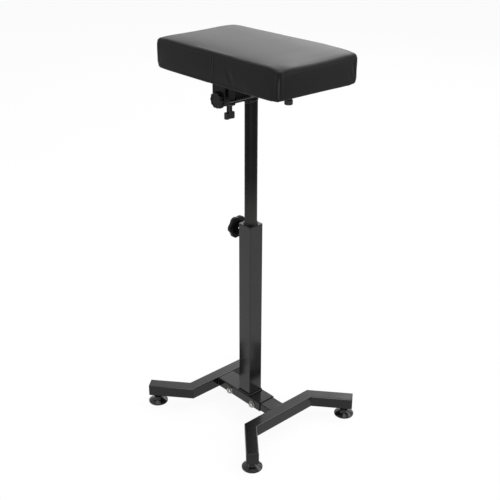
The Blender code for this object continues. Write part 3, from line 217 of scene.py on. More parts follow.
def black_steel(name):
    made = Shader(name, Metallic=0.75)
    grain = made.noise(1700, 4.0, 0.7)
    slow = made.noise(120, 3.0)
    made.colour(made.mix(made.span(slow, 0.3, 0.7, 0, 1), (0.012, 0.012, 0.013), (0.028, 0.027, 0.026)))
    made.roughness(made.span(grain, 0.3, 0.75, 0.42, 0.60))
    made.bump(grain, 0.00002, 0.6)
    return made.material


def plastic(name, shade, low, high, grain_height, ior, coat=0.0):
    made = Shader(name, Metallic=0.0, IOR=ior, Coat_Weight=coat, Coat_Roughness=0.08)
    grain = made.noise(2400, 3.0, 0.6)
    slow = made.noise(45, 4.0)
    made.colour(made.mix(made.span(slow, 0.3, 0.7, 0, 1), (shade * 0.85,) * 3, (shade * 1.25,) * 3))
    made.roughness(made.math("ADD", made.span(slow, 0.3, 0.7, low, high),
                             made.span(grain, 0.5, 0.8, 0.0, 0.08)))
    made.bump(grain, grain_height, 0.7)
    return made.material


def rubber(name):
    made = Shader(name, Metallic=0.0, IOR=1.32)
    grain = made.noise(1300, 4.0, 0.75)
    slow = made.noise(90, 3.0)
    made.colour(made.mix(made.span(slow, 0.3, 0.7, 0, 1), (0.007,) * 3, (0.014, 0.0135, 0.013)))
    made.roughness(made.span(grain, 0.3, 0.7, 0.5, 0.75))
    made.bump(grain, 0.00005, 0.8)
    return made.material


def plywood(name):
    made = Shader(name, Metallic=0.0, IOR=1.45)
    rings = made.noise(16, 6.0, 0.6, made.stretched((0.35, 3.4, 3.4)))
    fibre = made.noise(260, 4.0, 0.7, made.stretched((0.06, 2.2, 2.2)))
    pores = made.noise(900, 2.0, 0.6, made.stretched((0.05, 1.5, 1.5)))
    tone = made.mix(made.span(rings, 0.34, 0.66, 0, 1), (0.040, 0.037, 0.034), (0.027, 0.025, 0.023))
    tone = made.mix(made.span(fibre, 0.35, 0.7, 0.0, 0.5), tone, (0.020, 0.018, 0.017))
    made.colour(made.mix(made.span(pores, 0.62, 0.72, 0.0, 0.7), tone, (0.010, 0.009, 0.008)))
    made.roughness(made.span(fibre, 0.3, 0.7, 0.55, 0.78))
    made.bump(fibre, 0.00012, 0.6)
    made.bump(pores, 0.00008, 0.5)
    return made.material


# How far from the pad's sides the stretched vinyl of its corners starts and is full, and how much smoother
# it is there.
TIGHT_START = 0.016
TIGHT_FULL = 0.005
TIGHT_SHINE = 0.12


def leatherette(name, shade=0.0058, grain=1.0, low=0.305, high=0.32, tight=None):
    """Vinyl with an embossed pebble grain of about a millimetre, crossed by finer creases.

    tight: the middle and half sizes of a pad, at whose upright corners the vinyl is stretched and shiny.
    """
    made = Shader(name, Metallic=0.0, IOR=1.195)
    places = made.warped(0.0016, 170)
    pebbles = made.cells(820, places)
    fine = made.cells(2100, places)
    slow = made.noise(13, 4.0)
    speckle = made.noise(3000, 2.0, 0.6)
    valley = made.span(pebbles, 0.0, 0.16, 0, 1)
    small = made.span(fine, 0.0, 0.2, 0, 1)
    tone = made.mix(made.span(slow, 0.3, 0.7, 0, 1), (shade * 0.88, shade * 0.88, shade * 0.9),
                    (shade * 1.18, shade * 1.17, shade * 1.16))
    # Painted shade: the grain's valleys are darker.
    made.colour(made.mix(valley, (shade * 0.6,) * 3, tone))
    satin = made.math("ADD", made.span(slow, 0.3, 0.7, low, high), made.span(valley, 0, 1, 0.07, 0.0))
    if tight:
        middle, half = tight
        ways = made.axes()
        near = []
        for axis in (0, 1):
            away = made.math("ABSOLUTE", made.math("SUBTRACT", ways[axis], middle[axis]), 0)
            near.append(made.span(away, half[axis] - TIGHT_START, half[axis] - TIGHT_FULL, 0, 1))
        shine = made.math("MULTIPLY", *near)
        satin = made.math("SUBTRACT", satin, made.math("MULTIPLY", shine, TIGHT_SHINE))
    made.roughness(satin)
    made.bump(valley, 0.00005 * grain, 0.8)
    made.bump(small, 0.000018 * grain, 0.7)
    made.bump(speckle, 0.000010, 0.5)
    return made.material


def thread_fibre(name):
    made = Shader(name, Metallic=0.0, IOR=1.5, Sheen_Weight=0.3)
    strand = made.noise(5200, 2.0, 0.6)
    made.colour(made.mix(made.span(strand, 0.3, 0.7, 0, 1), (0.012,) * 3, (0.045,) * 3))
    made.roughness(made.span(strand, 0.3, 0.7, 0.5, 0.75))
    made.bump(strand, 0.00004, 0.8)
    return made.material


POWDER = powder_coat("powder_coat_black", 0.0055, 0.13, 1.36)
POST_POWDER = powder_coat("powder_coat_post", 0.0070, 0.13, 1.41)
HEAD_POWDER = powder_coat("powder_coat_head", 0.0055, 0.24, 1.18)
# The mast's coat is painted lighter low down, painted light standing in for the pad's shade on its upper part.
MAST_POWDER = powder_coat("powder_coat_mast", 0.0080, 0.30, 1.09, (0.52, 0.66))
# The rib's copy of the coat is painted darker, painted shade for its place under the pad.
RIB_POWDER = powder_coat("powder_coat_rib", 0.0045, 0.28, 1.12)
# The arm's coat has a painted highlight along its upper edges.
ARM_POWDER = powder_coat("powder_coat_arm", 0.0055, 0.46, 1.13, None,
                         ((ARM_HIGH.x - ARM_LOW.x) / 2, ARM_HIGH.z))
WELD = weld_coat("weld_bead_coated")
ZINC = zinc("bright_zinc_plate")
# The sleeve bolts' zinc is a darker copy: painted shade and painted dark reflections for their place under the
# sleeve.
SHADED_ZINC = zinc("zinc_plate_painted_shade", (0.34, 0.34, 0.34), (0.20, 0.195, 0.18))
BLACK_STEEL = black_steel("black_oxide_steel")
KNOB = plastic("moulded_knob_plastic", 0.0054, 0.30, 0.42, 0.000030, 1.21)
CAP = plastic("end_cap_plastic", 0.0065, 0.24, 0.34, 0.000020, 1.32)
NYLON = plastic("guide_nylon", 0.0070, 0.18, 0.28, 0.000010, 1.32)
GLIDE = plastic("glide_plastic_glossy", 0.006, 0.08, 0.16, 0.000006, 1.37, 0.10)
RUBBER = rubber("buffer_rubber")
PLYWOOD = plywood("black_stained_plywood")
LEATHERETTE = leatherette("black_leatherette", tight=(PAD_MID, PAD_HALF))
HEM = leatherette("leatherette_hem", 0.006, 1.3, 0.42, 0.55)
THREAD = thread_fibre("black_sewing_thread")

FINISHES = {
    POWDER: ["leg_bar_left", "leg_bar_right", "base_sleeve", "base_stub_left", "base_stub_right"],
    POST_POWDER: ["post_tube", "knob_boss"],
    MAST_POWDER: ["mast_tube"],
    HEAD_POWDER: ["head_block", "tilt_bracket"],
    RIB_POWDER: ["arm_rib"],
    ARM_POWDER: ["arm_bar"],
    WELD: ["post_weld", "arm_weld"],
    SHADED_ZINC: ["sleeve_bolt_left", "sleeve_bolt_right", "sleeve_nut_left", "sleeve_nut_right"],
    ZINC: ["height_stud", "tilt_stud", *[f"bracket_screw_{i}" for i in range(1, 5)],
           *[f"foot_stud_{f}" for f in FEET]],
    BLACK_STEEL: ["mast_retaining_ring", "swivel_washer", "swivel_stud", "buffer_stem",
                  *[f"foot_nut_{f}" for f in FEET]],
    KNOB: ["height_knob", "tilt_knob", "swivel_knob"],
    CAP: [f"end_cap_{f}" for f in FEET],
    NYLON: ["post_bush", "slider_block", "mast_foot_plug"],
    GLIDE: [f"foot_glide_{f}" for f in FEET],
    RUBBER: ["buffer_tip"],
    PLYWOOD: ["pad_board"],
    LEATHERETTE: ["pad_cushion"],
}
for finish, names in FINISHES.items():
    for name in names:
        slots = nodes[name].material_slots
        for material_slot in slots:
            material_slot.material = finish
        if not slots:
            nodes[name].data.materials.append(finish)


# Making pieces

def add_piece(name, mesh, material, body, replaced=()):
    piece = bpy.data.objects.new(name, mesh)
    bpy.context.scene.collection.objects.link(piece)
    mesh.materials.clear()
    mesh.materials.append(material)
    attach(piece, body)
    if replaced:
        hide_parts(*replaced)
    return piece


def mesh_of(name, points, faces, smooth=True):
    mesh = bpy.data.meshes.new(name)
    mesh.from_pydata([tuple(p) for p in points], [], faces)
    bm = bmesh.new()
    bm.from_mesh(mesh)
    bmesh.ops.recalc_face_normals(bm, faces=bm.faces)
    bm.to_mesh(mesh)
    bm.free()
    if smooth:
        mesh.shade_smooth()
    return mesh


def grid_faces(rings, sides, closed):
    """The faces between rings of points, with the last ring joined to the first if it is closed."""
    faces = []
    for i in range(rings if closed else rings - 1):
        following = (i + 1) % rings
        for j in range(sides):
            k = (j + 1) % sides
            faces.append((i * sides + j, i * sides + k, following * sides + k, following * sides + j))
    return faces


def end_faces(rings, sides):
    return [tuple(range(sides)), tuple((rings - 1) * sides + j for j in reversed(range(sides)))]


def joined(name, meshes):
    """Several (points, faces) pairs as one mesh."""
    points, faces = [], []
    for more_points, more_faces in meshes:
        first = len(points)
        points += more_points
        faces += [tuple(first + i for i in face) for face in more_faces]
    return mesh_of(name, points, faces)


BEAD_SKEW = 0.25
BEAD_LUMP = 0.06
LUMP_SCALE = 700


def bead(path, radius, pitch, sides=10, closed=True, wobble=0.12):
    """A weld bead: a tube along a path, with the overlapping ripples of its passes."""
    lengths = [0.0]
    count = len(path)
    for i in range(1, count):
        lengths.append(lengths[-1] + (path[i] - path[i - 1]).length)
    points = []
    for i, place in enumerate(path):
        before = path[i - 1] if closed or i else path[i]
        after = path[(i + 1) % count] if closed or i < count - 1 else path[i]
        forward = (after - before).normalized()
        side = forward.cross(UP)
        side = side.normalized() if side.length > 0.1 else Vector((1, 0, 0))
        up = side.cross(forward).normalized()
        for j in range(sides):
            angle = math.tau * j / sides
            phase = math.tau * (lengths[i] / pitch + BEAD_SKEW * math.cos(angle))
            lump = BEAD_LUMP * noise.noise(place * LUMP_SCALE)
            reach = radius * (1 + wobble * math.sin(phase) + lump)
            points.append(place + (side * math.cos(angle) + up * math.sin(angle)) * reach)
    faces = grid_faces(count, sides, closed)
    if not closed:
        faces += end_faces(count, sides)
    return points, faces


def rounded_path(half_x, half_y, corner, step, height):
    """A closed rounded rectangle in the plane z = height, with a point about every step."""
    def on_corner(middle, angle):
        return middle + Vector((math.cos(angle), math.sin(angle), 0)) * corner

    middles = [Vector((sx * (half_x - corner), sy * (half_y - corner), height))
               for sx, sy in ((1, 1), (-1, 1), (-1, -1), (1, -1))]
    turns = max(3, round(corner * math.pi / 2 / step))
    points = []
    for i, middle in enumerate(middles):
        points += [on_corner(middle, math.pi / 2 * (i + k / turns)) for k in range(turns)]
        start = on_corner(middle, math.pi / 2 * (i + 1))
        end = on_corner(middles[(i + 1) % 4], math.pi / 2 * (i + 1))
        runs = max(1, round((end - start).length / step))
        points += [start.lerp(end, k / runs) for k in range(runs)]
    return points


# Threads. The depth and the chamfer at the ends are in pitches.

THREAD_RINGS = 6
THREAD_DEPTH = 0.54
THREAD_CHAMFER = 0.8
CREST_SHARPNESS = 1.15


def threaded(name, node, radius, pitch, direction, material, body, sides=20):
    """A stud with a helical thread in place of the CAD node's plain cylinder."""
    low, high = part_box(node)
    axis = Vector(direction)
    middle = (low + high) / 2
    length = abs((high - low).dot(axis))
    turn = UP.rotation_difference(axis).to_matrix()
    rings = max(4, round(length / pitch * THREAD_RINGS))
    depth = THREAD_DEPTH * pitch
    chamfer = THREAD_CHAMFER * pitch
    points = []
    for i in range(rings + 1):
        along = length * i / rings
        for j in range(sides):
            share = (along / pitch - j / sides) % 1.0
            ridge = 1 - abs(2 * share - 1)
            reach = radius - depth * (1 - min(1.0, ridge * CREST_SHARPNESS))
            reach = min(reach, radius - depth + min(along, length - along) * depth / chamfer)
            angle = math.tau * j / sides
            spot = Vector((reach * math.cos(angle), reach * math.sin(angle), along - length / 2))
            points.append(middle + turn @ spot)
    faces = grid_faces(rings + 1, sides, False) + end_faces(rings + 1, sides)
    add_piece(name, mesh_of(name, points, faces), material, body, (node,))


def make_threads():
    threaded("swivel_stud_thread", "swivel_stud", 0.004, 0.00125, (0, 0, 1), BLACK_STEEL, "swivel_clamp")
    threaded("height_stud_thread", "height_stud", 0.005, 0.0015, (-1, 0, 0), ZINC, "height_clamp")
    for foot in FEET:
        threaded(f"foot_stud_thread_{foot}", f"foot_stud_{foot}", 0.004, 0.00125, (0, 0, 1), ZINC,
                 f"foot_{foot}", 16)


# Welds. A bead is given by its radius and the pitch of its ripples.

BEAD_STEP = 0.0009
# The post's bead, in shares of the CAD weld's own width: how far out and up its middle runs, its corner's
# radius and its own radius.
POST_BEAD_OUT = 0.42
POST_BEAD_CORNER = 1.2
POST_BEAD_RADIUS = 0.62
POST_BEAD_PITCH = 0.0024
STUB_CORNER = 0.003
STUB_BEAD = (0.0016, 0.0022)
# The arm's ring of weld sinks into the mast's wall and hangs lower towards the head.
ARM_RING_POINTS = 110
ARM_RING_INSET = 0.0006
ARM_RING_DROP = 0.0012
ARM_RING_LEAN = 0.0032
ARM_RING_BEND = 1.6
ARM_BEAD = (0.0017, 0.0023)
SECOND_RING_DROP = 0.00078
SECOND_RING_LEAN = 0.0036
SECOND_RING_REACH = 0.0142
SECOND_BEAD = (0.0016, 0.0021)
RIB_BEAD = (0.0013, 0.0020, 8, False)
RIB_BEAD_STEP = 0.0008
RIB_BEAD_MARGIN = 0.001
RIB_BEAD_OUT = 0.0002
RIB_BEAD_UP = 0.0004
BOSS_BEAD = (0.0013, 0.0021)
BOSS_RING_POINTS = 80
BOSS_RING_INSET = 0.0005


def add_weld(name, runs, body, replaced=()):
    add_piece(name, joined(name, runs), WELD, body, replaced)


def weld_post():
    weld_low, weld_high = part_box("post_weld")
    post_low, post_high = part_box("post_tube")
    half = (post_high.x - post_low.x) / 2
    leg = (weld_high.x - weld_low.x) / 2 - half
    out = half + leg * POST_BEAD_OUT
    path = rounded_path(out, out, leg * POST_BEAD_CORNER, BEAD_STEP, weld_low.z + leg * POST_BEAD_OUT)
    add_weld("post_weld_bead", [bead(path, leg * POST_BEAD_RADIUS, POST_BEAD_PITCH)], "base", ("post_weld",))


def weld_stubs():
    runs = []
    for word, side in (("left", -1), ("right", 1)):
        low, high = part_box(f"base_stub_{word}")
        face = low.x if side < 0 else high.x
        flat = rounded_path((high.y - low.y) / 2, (high.z - low.z) / 2, STUB_CORNER, BEAD_STEP, 0)
        middle_z = (low.z + high.z) / 2
        runs.append(bead([Vector((face, p.x, middle_z + p.y)) for p in flat], *STUB_BEAD))
    add_weld("stub_weld_beads", runs, "base")


def weld_arm():
    mast_low, mast_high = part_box("mast_tube")
    radius = (mast_high.x - mast_low.x) / 2 - ARM_RING_INSET
    ring = []
    for i in range(ARM_RING_POINTS):
        angle = math.tau * i / ARM_RING_POINTS
        lean = 0.5 - 0.5 * math.sin(angle)
        drop = ARM_RING_DROP + ARM_RING_LEAN * lean ** ARM_RING_BEND
        ring.append(Vector((radius * math.cos(angle), radius * math.sin(angle), mast_high.z - drop)))
    second = [p - UP * (SECOND_RING_DROP + SECOND_RING_LEAN * max(0.0, -p.y / SECOND_RING_REACH) ** 2)
              for p in ring]
    add_weld("arm_weld_bead", [bead(ring, *ARM_BEAD), bead(second, *SECOND_BEAD)], "mast", ("arm_weld",))


def weld_rib():
    low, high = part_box("arm_rib")
    runs = []
    for side in (-1, 1):
        x = side * ((high.x - low.x) / 2 + RIB_BEAD_OUT)
        count = int((high.y - low.y - 2 * RIB_BEAD_MARGIN) / RIB_BEAD_STEP)
        line = [Vector((x, low.y + RIB_BEAD_MARGIN + i * RIB_BEAD_STEP, low.z + RIB_BEAD_UP))
                for i in range(count)]
        runs.append(bead(line, *RIB_BEAD))
    add_weld("rib_weld_beads", runs, "mast")


def weld_boss():
    low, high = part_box("knob_boss")
    radius = (high.z - low.z) / 2
    middle = (low + high) / 2
    angles = [math.tau * i / BOSS_RING_POINTS for i in range(BOSS_RING_POINTS)]
    ring = [Vector((high.x - BOSS_RING_INSET, middle.y + radius * math.cos(a), middle.z + radius * math.sin(a)))
            for a in angles]
    add_weld("boss_weld_bead", [bead(ring, *BOSS_BEAD)], "base")


# The rib's plate

RIB_TOE_SHARE = 0.2
RIB_TIP = 0.004
RIB_RISE = 0.0036
RIB_EDGE = 0.0007


def make_rib():
    """The rib's plate, which stands a little taller at the head than the CAD's rib."""
    low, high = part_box("arm_rib")
    toe = low.z + RIB_TOE_SHARE * (high.z - low.z)
    middle = (low.y + high.y) / 2
    outline = [(low.y, low.z), (high.y, low.z), (high.y, toe), (middle, high.z),
               (low.y + RIB_TIP, high.z + RIB_RISE), (low.y, high.z + RIB_RISE)]
    count = len(outline)
    points = [(x, y, z) for x in (low.x, high.x) for y, z in outline]
    faces = [tuple(range(count)), tuple(count + i for i in reversed(range(count)))]
    faces += [(i, (i + 1) % count, count + (i + 1) % count, count + i) for i in range(count)]
    plate = add_piece("arm_rib_plate", mesh_of("arm_rib_plate", points, faces, False), RIB_POWDER, "mast",
                      ("arm_rib",))
    bevel = plate.modifiers.new("edges", "BEVEL")
    bevel.width = RIB_EDGE
    bevel.segments = 3


# Cushion: how the cover is blown up, calmed and sharpened

VOXEL = 0.0040
SHRINK_TOP = 0.0014
SHRINK_SIDE = 0.0010
SHRINK_START = 0.004
SHRINK_HEIGHT = 0.03
CAP_TOP = 0.0020
CAP_SIDE = 0.0014
PIN_HEIGHT = 0.006
BOARD_MARGIN = 0.004
PRESSURE = 4.0
CLOTH_FRAMES = 20
CROWN = 0.0075
CROWN_FALL = 0.0056
CALM_START = 0.009
CALM_FULL = 0.022
FLAT_NORMAL = 0.97
FLAT_PASSES = 60
FLAT_WEIGHT = 0.5
BENT_WEIGHT = 0.02
EVEN_PASSES = 120
CORNER_ZONE = 0.014
RIM_ZONE = 0.007
CRISP_PULL = 1.6
CRISP_UNDER = 0.0003
CRISP_PROUD = 0.0012
ROUND_ZONE = 0.026
ROUND_PASSES = 24
ROUND_RIM_SHARE = 0.12
RIM_PASSES = 6
RIM_SOFT = 0.016
GATHER_REACH = 0.020
GATHER_HEIGHT = 0.016
GATHER_DROP = 0.0020
FRONT, BACK, RIGHT, LEFT = (Vector(way) for way in ((0, -1, 0), (0, 1, 0), (1, 0, 0), (-1, 0, 0)))


def evaluated_mesh(obj):
    graph = bpy.context.evaluated_depsgraph_get()
    return bpy.data.meshes.new_from_object(obj.evaluated_get(graph))


def settle(obj):
    """Apply the object's modifiers to its mesh."""
    mesh = evaluated_mesh(obj)
    obj.modifiers.clear()
    obj.data = mesh


def places(mesh):
    flat = np.empty(len(mesh.vertices) * 3)
    mesh.vertices.foreach_get("co", flat)
    return flat.reshape(-1, 3)


def place_all(mesh, points):
    mesh.vertices.foreach_set("co", points.ravel())
    mesh.update()


def tree_of(mesh):
    return BVHTree.FromPolygons([v.co for v in mesh.vertices], [p.vertices for p in mesh.polygons])


def eased(share):
    """A share clipped to 0 to 1, with a smooth start and end."""
    share = share.clip(0, 1)
    return share * share * (3 - 2 * share)


def insets(co):
    """How far a place is in from the pad's ends and from its front or back."""
    return min(co.x - PAD_LOW.x, PAD_HIGH.x - co.x), min(co.y - PAD_LOW.y, PAD_HIGH.y - co.y)


def side_of(co):
    """How far a place is in from the pad's nearest side, and that side's outward direction."""
    sides = ((PAD_HIGH.y - co.y, BACK), (co.y - PAD_LOW.y, FRONT), (PAD_HIGH.x - co.x, RIGHT),
             (co.x - PAD_LOW.x, LEFT))
    return min(sides, key=lambda pair: pair[0])


def inside_board(co):
    return (BOARD_LOW.x - BOARD_MARGIN < co.x < BOARD_HIGH.x + BOARD_MARGIN
            and BOARD_LOW.y - BOARD_MARGIN < co.y < BOARD_HIGH.y + BOARD_MARGIN
            and co.z < BOARD_HIGH.z + BOARD_MARGIN)


def evened(mesh, values, passes, weight):
    """Average each vertex's value with its neighbours', several times over."""
    ends = np.empty(len(mesh.edges) * 2, dtype=int)
    mesh.edges.foreach_get("vertices", ends)
    first, second = ends[0::2], ends[1::2]
    count = len(mesh.vertices)
    degree = np.bincount(ends, minlength=count).clip(1)[:, None]
    for _ in range(passes):
        total = np.stack([np.bincount(first, values[second, k], count)
                          + np.bincount(second, values[first, k], count) for k in range(3)], axis=1)
        values = values + weight * (total / degree - values)
    return values


def shrink(mesh):
    """Draw the cover in before it is blown up, except at its foot."""
    for v in mesh.vertices:
        if v.co.z > UNDERSIDE + SHRINK_START and not inside_board(v.co):
            rise = min(1.0, (v.co.z - UNDERSIDE) / SHRINK_HEIGHT)
            v.co -= Vector((v.normal.x * SHRINK_SIDE * rise, v.normal.y * SHRINK_SIDE * rise,
                            max(0.0, v.normal.z) * SHRINK_TOP))


def puffed(obj):
    """Blow the cover up over its foam by cloth simulation, no farther than the caps allow."""
    start = places(obj.data)
    pin = obj.vertex_groups.new(name="pin")
    for v in obj.data.vertices:
        if v.co.z < UNDERSIDE + PIN_HEIGHT or inside_board(v.co):
            pin.add([v.index], 1.0, "REPLACE")
    cloth = obj.modifiers.new("cloth", "CLOTH")
    settings = cloth.settings
    settings.quality = 6
    settings.mass = 0.25
    settings.tension_stiffness = 24
    settings.compression_stiffness = 18
    settings.bending_stiffness = 2.0
    settings.use_pressure = True
    settings.uniform_pressure_force = PRESSURE
    settings.effector_weights.gravity = 0
    settings.vertex_group_mass = "pin"
    cloth.point_cache.frame_start = 1
    cloth.point_cache.frame_end = CLOTH_FRAMES
    for step in range(1, CLOTH_FRAMES + 1):
        bpy.context.scene.frame_set(step)
    push = places(evaluated_mesh(obj)) - start
    obj.modifiers.clear()
    obj.vertex_groups.clear()
    bpy.context.scene.frame_set(1)
    sideways = np.linalg.norm(push[:, :2], axis=1).clip(1e-9)
    push[:, :2] *= np.minimum(1.0, CAP_SIDE / sideways)[:, None]
    push[:, 2] = push[:, 2].clip(-CAP_TOP, CAP_TOP)
    place_all(obj.data, start + push)


def sharpened(mesh, solid):
    """Bring the cover's upright corners and its lower rim back out to the CAD solid, then round them off."""
    rounded = np.zeros((len(mesh.vertices), 1))
    rims = np.zeros((len(mesh.vertices), 1))
    for v in mesh.vertices:
        if inside_board(v.co):
            continue
        corner_inset = max(insets(v.co))
        rim = 1 - (v.co.z - UNDERSIDE) / RIM_ZONE
        weight = max(0.0, min(1.0, CRISP_PULL * max(1 - corner_inset / CORNER_ZONE, rim)))
        nearest, normal, _, _ = solid.find_nearest(v.co)
        offset = max(-CRISP_UNDER, min(CRISP_PROUD, (v.co - nearest).dot(normal)))
        v.co = v.co.lerp(nearest + normal * offset, weight)
        edge = 1 - max(side_of(v.co)[0], PAD_HIGH.z - CROWN - v.co.z) / RIM_SOFT
        rounded[v.index] = 0.5 * max(1 - corner_inset / ROUND_ZONE, ROUND_RIM_SHARE * rim, 0)
        rims[v.index] = 0.5 * max(0.0, min(1.0, 2 * edge))
    place_all(mesh, evened(mesh, evened(mesh, places(mesh), ROUND_PASSES, rounded), RIM_PASSES, rims))


def calmed(mesh):
    """Lay the middle of the cover's top on one smooth low dome, fitted to its own heights."""
    spots = places(mesh)
    half = np.array(PAD_HALF)
    ups = np.array([v.normal.z for v in mesh.vertices])
    across = (spots - np.array(PAD_MID))[:, :2] / half[:2]
    inset = ((1 - np.abs(across)) * half[:2]).min(axis=1)
    top = (ups > 0.9) & (spots[:, 2] > PAD_MID.z) & (inset > CALM_START)
    u, v = across[:, 0], across[:, 1]
    terms = np.stack([np.ones_like(u), u, v, u ** 2, v ** 2, u ** 2 * v ** 2, u ** 4, v ** 4], axis=1)
    shape = np.linalg.lstsq(terms[top], spots[top, 2], rcond=None)[0]
    share = np.where(top, eased((inset - CALM_START) / (CALM_FULL - CALM_START)), 0)
    spots[:, 2] += share * (terms @ shape - spots[:, 2])
    place_all(mesh, spots)


# Creases and seams on the cover

# Each crease has its side, its start and end, its depth and its width. A start or end gives the distance
# along the side from the pad's middle, and the height. The first crease is the one in the photograph.
CREASES = [
    (FRONT, (0.045, 0.908), (0.060, 0.884), 0.0006, 0.0056),
    (FRONT, (-0.184, 0.894), (-0.195, 0.878), 0.0004, 0.0030),
    (BACK, (-0.052, 0.910), (-0.068, 0.878), 0.0007, 0.0048),
    (BACK, (0.184, 0.895), (0.194, 0.878), 0.0004, 0.0030),
    (RIGHT, (0.098, 0.920), (0.108, 0.884), 0.0005, 0.0030),
    (RIGHT, (0.088, 0.896), (0.106, 0.880), 0.0004, 0.0028),
    (LEFT, (-0.098, 0.898), (-0.110, 0.880), 0.0005, 0.0030),
]
CREASE_INSET = 0.012
# A crease's depth at its start, and what it gains to its end, as shares of half a turn.
CREASE_TAPER = (0.12, 0.76)
# The ridge beside a crease: its height as a share of the depth, and its place in widths.
RIDGE_SHARE = 0.45
RIDGE_PLACE = 2.1
SEAM_X = PAD_MID.x - 0.0048
SEAM_DEPTH = 0.0013
SEAM_WIDTH = 0.0013
SEAM_SHOULDER = 0.0004
SHOULDER_PLACE = 0.0040
SHOULDER_WIDTH = 0.0022
SEAM_REACH = 0.02
SEAM_INSET = 0.012
SEAM_FADE = 0.004
SEAM_PUCKER = 0.18
LAP_OFFSET = -0.0062
LAP_DEPTH = 0.0004
STITCH_PITCH = 0.0036
# The top panel is sewn to the side band a little below the edge.
BAND_TOP = 0.9285
BAND_DEPTH = 0.0007
BAND_WIDTH = 0.0011
BAND_SWELL = 0.0004
SWELL_PLACE = 0.0034
SWELL_WIDTH = 0.0028
BAND_INSET = 0.006
BAND_START = 0.003


def hump(away, width):
    return math.exp(-(away / width) ** 2)


def crease_shift(co):
    shift = Vector((0, 0, 0))
    for out, start, end, depth, width in CREASES:
        surface = max(PAD_HIGH.dot(out), PAD_LOW.dot(out))
        if co.dot(out) < surface - CREASE_INSET:
            continue
        across = co.x - PAD_MID.x if out.y else co.y - PAD_MID.y
        spot, a, b = Vector((across, co.z)), Vector(start), Vector(end)
        run = b - a
        share = max(0.0, min(1.0, (spot - a).dot(run) / run.length_squared))
        away = (spot - (a + run * share)).length
        if away > 4 * width:
            continue
        taper = math.sin(math.pi * (CREASE_TAPER[0] + CREASE_TAPER[1] * share))
        dip = hump(away, width) - RIDGE_SHARE * hump(away - RIDGE_PLACE * width, width)
        shift -= out * depth * taper * dip
    return shift


def seam_shift(co):
    """The groove round the pad under the top panel, and the upright lapped seams in its front and back."""
    shift = Vector((0, 0, 0))
    inset, out = side_of(co)
    if inset < BAND_INSET and co.z > UNDERSIDE + BAND_START:
        shift -= out * BAND_DEPTH * hump(co.z - BAND_TOP, BAND_WIDTH)
        shift += out * BAND_SWELL * hump(co.z - BAND_TOP - SWELL_PLACE, SWELL_WIDTH)
    away = abs(co.x - SEAM_X)
    if away < SEAM_REACH and out.y and inset < SEAM_INSET and co.z < BAND_TOP:
        pucker = 1 + SEAM_PUCKER * math.cos(math.tau * co.z / STITCH_PITCH)
        dip = SEAM_DEPTH * pucker * hump(away, SEAM_WIDTH)
        dip += LAP_DEPTH * hump(co.x - SEAM_X - LAP_OFFSET, SEAM_WIDTH)
        swell = SEAM_SHOULDER * hump(away - SHOULDER_PLACE, SHOULDER_WIDTH)
        shift -= out * (dip - swell) * min(1.0, (BAND_TOP - co.z) / SEAM_FADE)
    return shift


def refine_seams(mesh):
    """Split the faces near the seams, where the folds are finer than the voxels."""
    for reach in (0.008, 0.0045):
        bm = bmesh.new()
        bm.from_mesh(mesh)
        near = [e for e in bm.edges if all(near_seam(v.co, reach) for v in e.verts)]
        bmesh.ops.subdivide_edges(bm, edges=near, cuts=1, use_grid_fill=True)
        bm.to_mesh(mesh)
        bm.free()


def near_seam(co, reach):
    inset, out = side_of(co)
    upright = out.y and abs(co.x - SEAM_X) < reach and inset < 0.014
    return upright or (abs(co.z - BAND_TOP) < reach * 0.6 and inset < 0.010)


# The unevenness of the sewn cover in the photograph: the far edge stands higher, the near corner is soft,
# the right rim is low in its middle and the lower rim hangs below the board. A pair of rows gives a value
# at places along the pad, which run from -1 to 1 to the right and to the back.
FAR_RISE = 0.0049
FAR_FADE = (1.12, 0.6)
LEFT_SHARE = ((-1, -0.5), (0.84, 1))
LEFT_BEND = ((-0.9, -0.4), (1.2, 1))
NEAR_SLOPE = -0.0022
NEAR_LIFT = 0.0004
SOFT_DROP = 0.0065
SOFT_REACH = 0.048
SIDE_DROP = 0.0034
SIDE_START = 0.72
SIDE_LEAN = 0.5
RISE_LOW = 0.008
RISE_HEIGHT = 0.034
SAG_FRONT = ((-1, 0, 1), (0.0020, 0.0050, 0.0056))
SAG_RIGHT = ((-1, -0.6, 1), (0.0034, 0.0018, 0.0046))
SAG_ELSEWHERE = 0.0016
SAG_HEIGHT = 0.022
SAG_INSET = 0.010


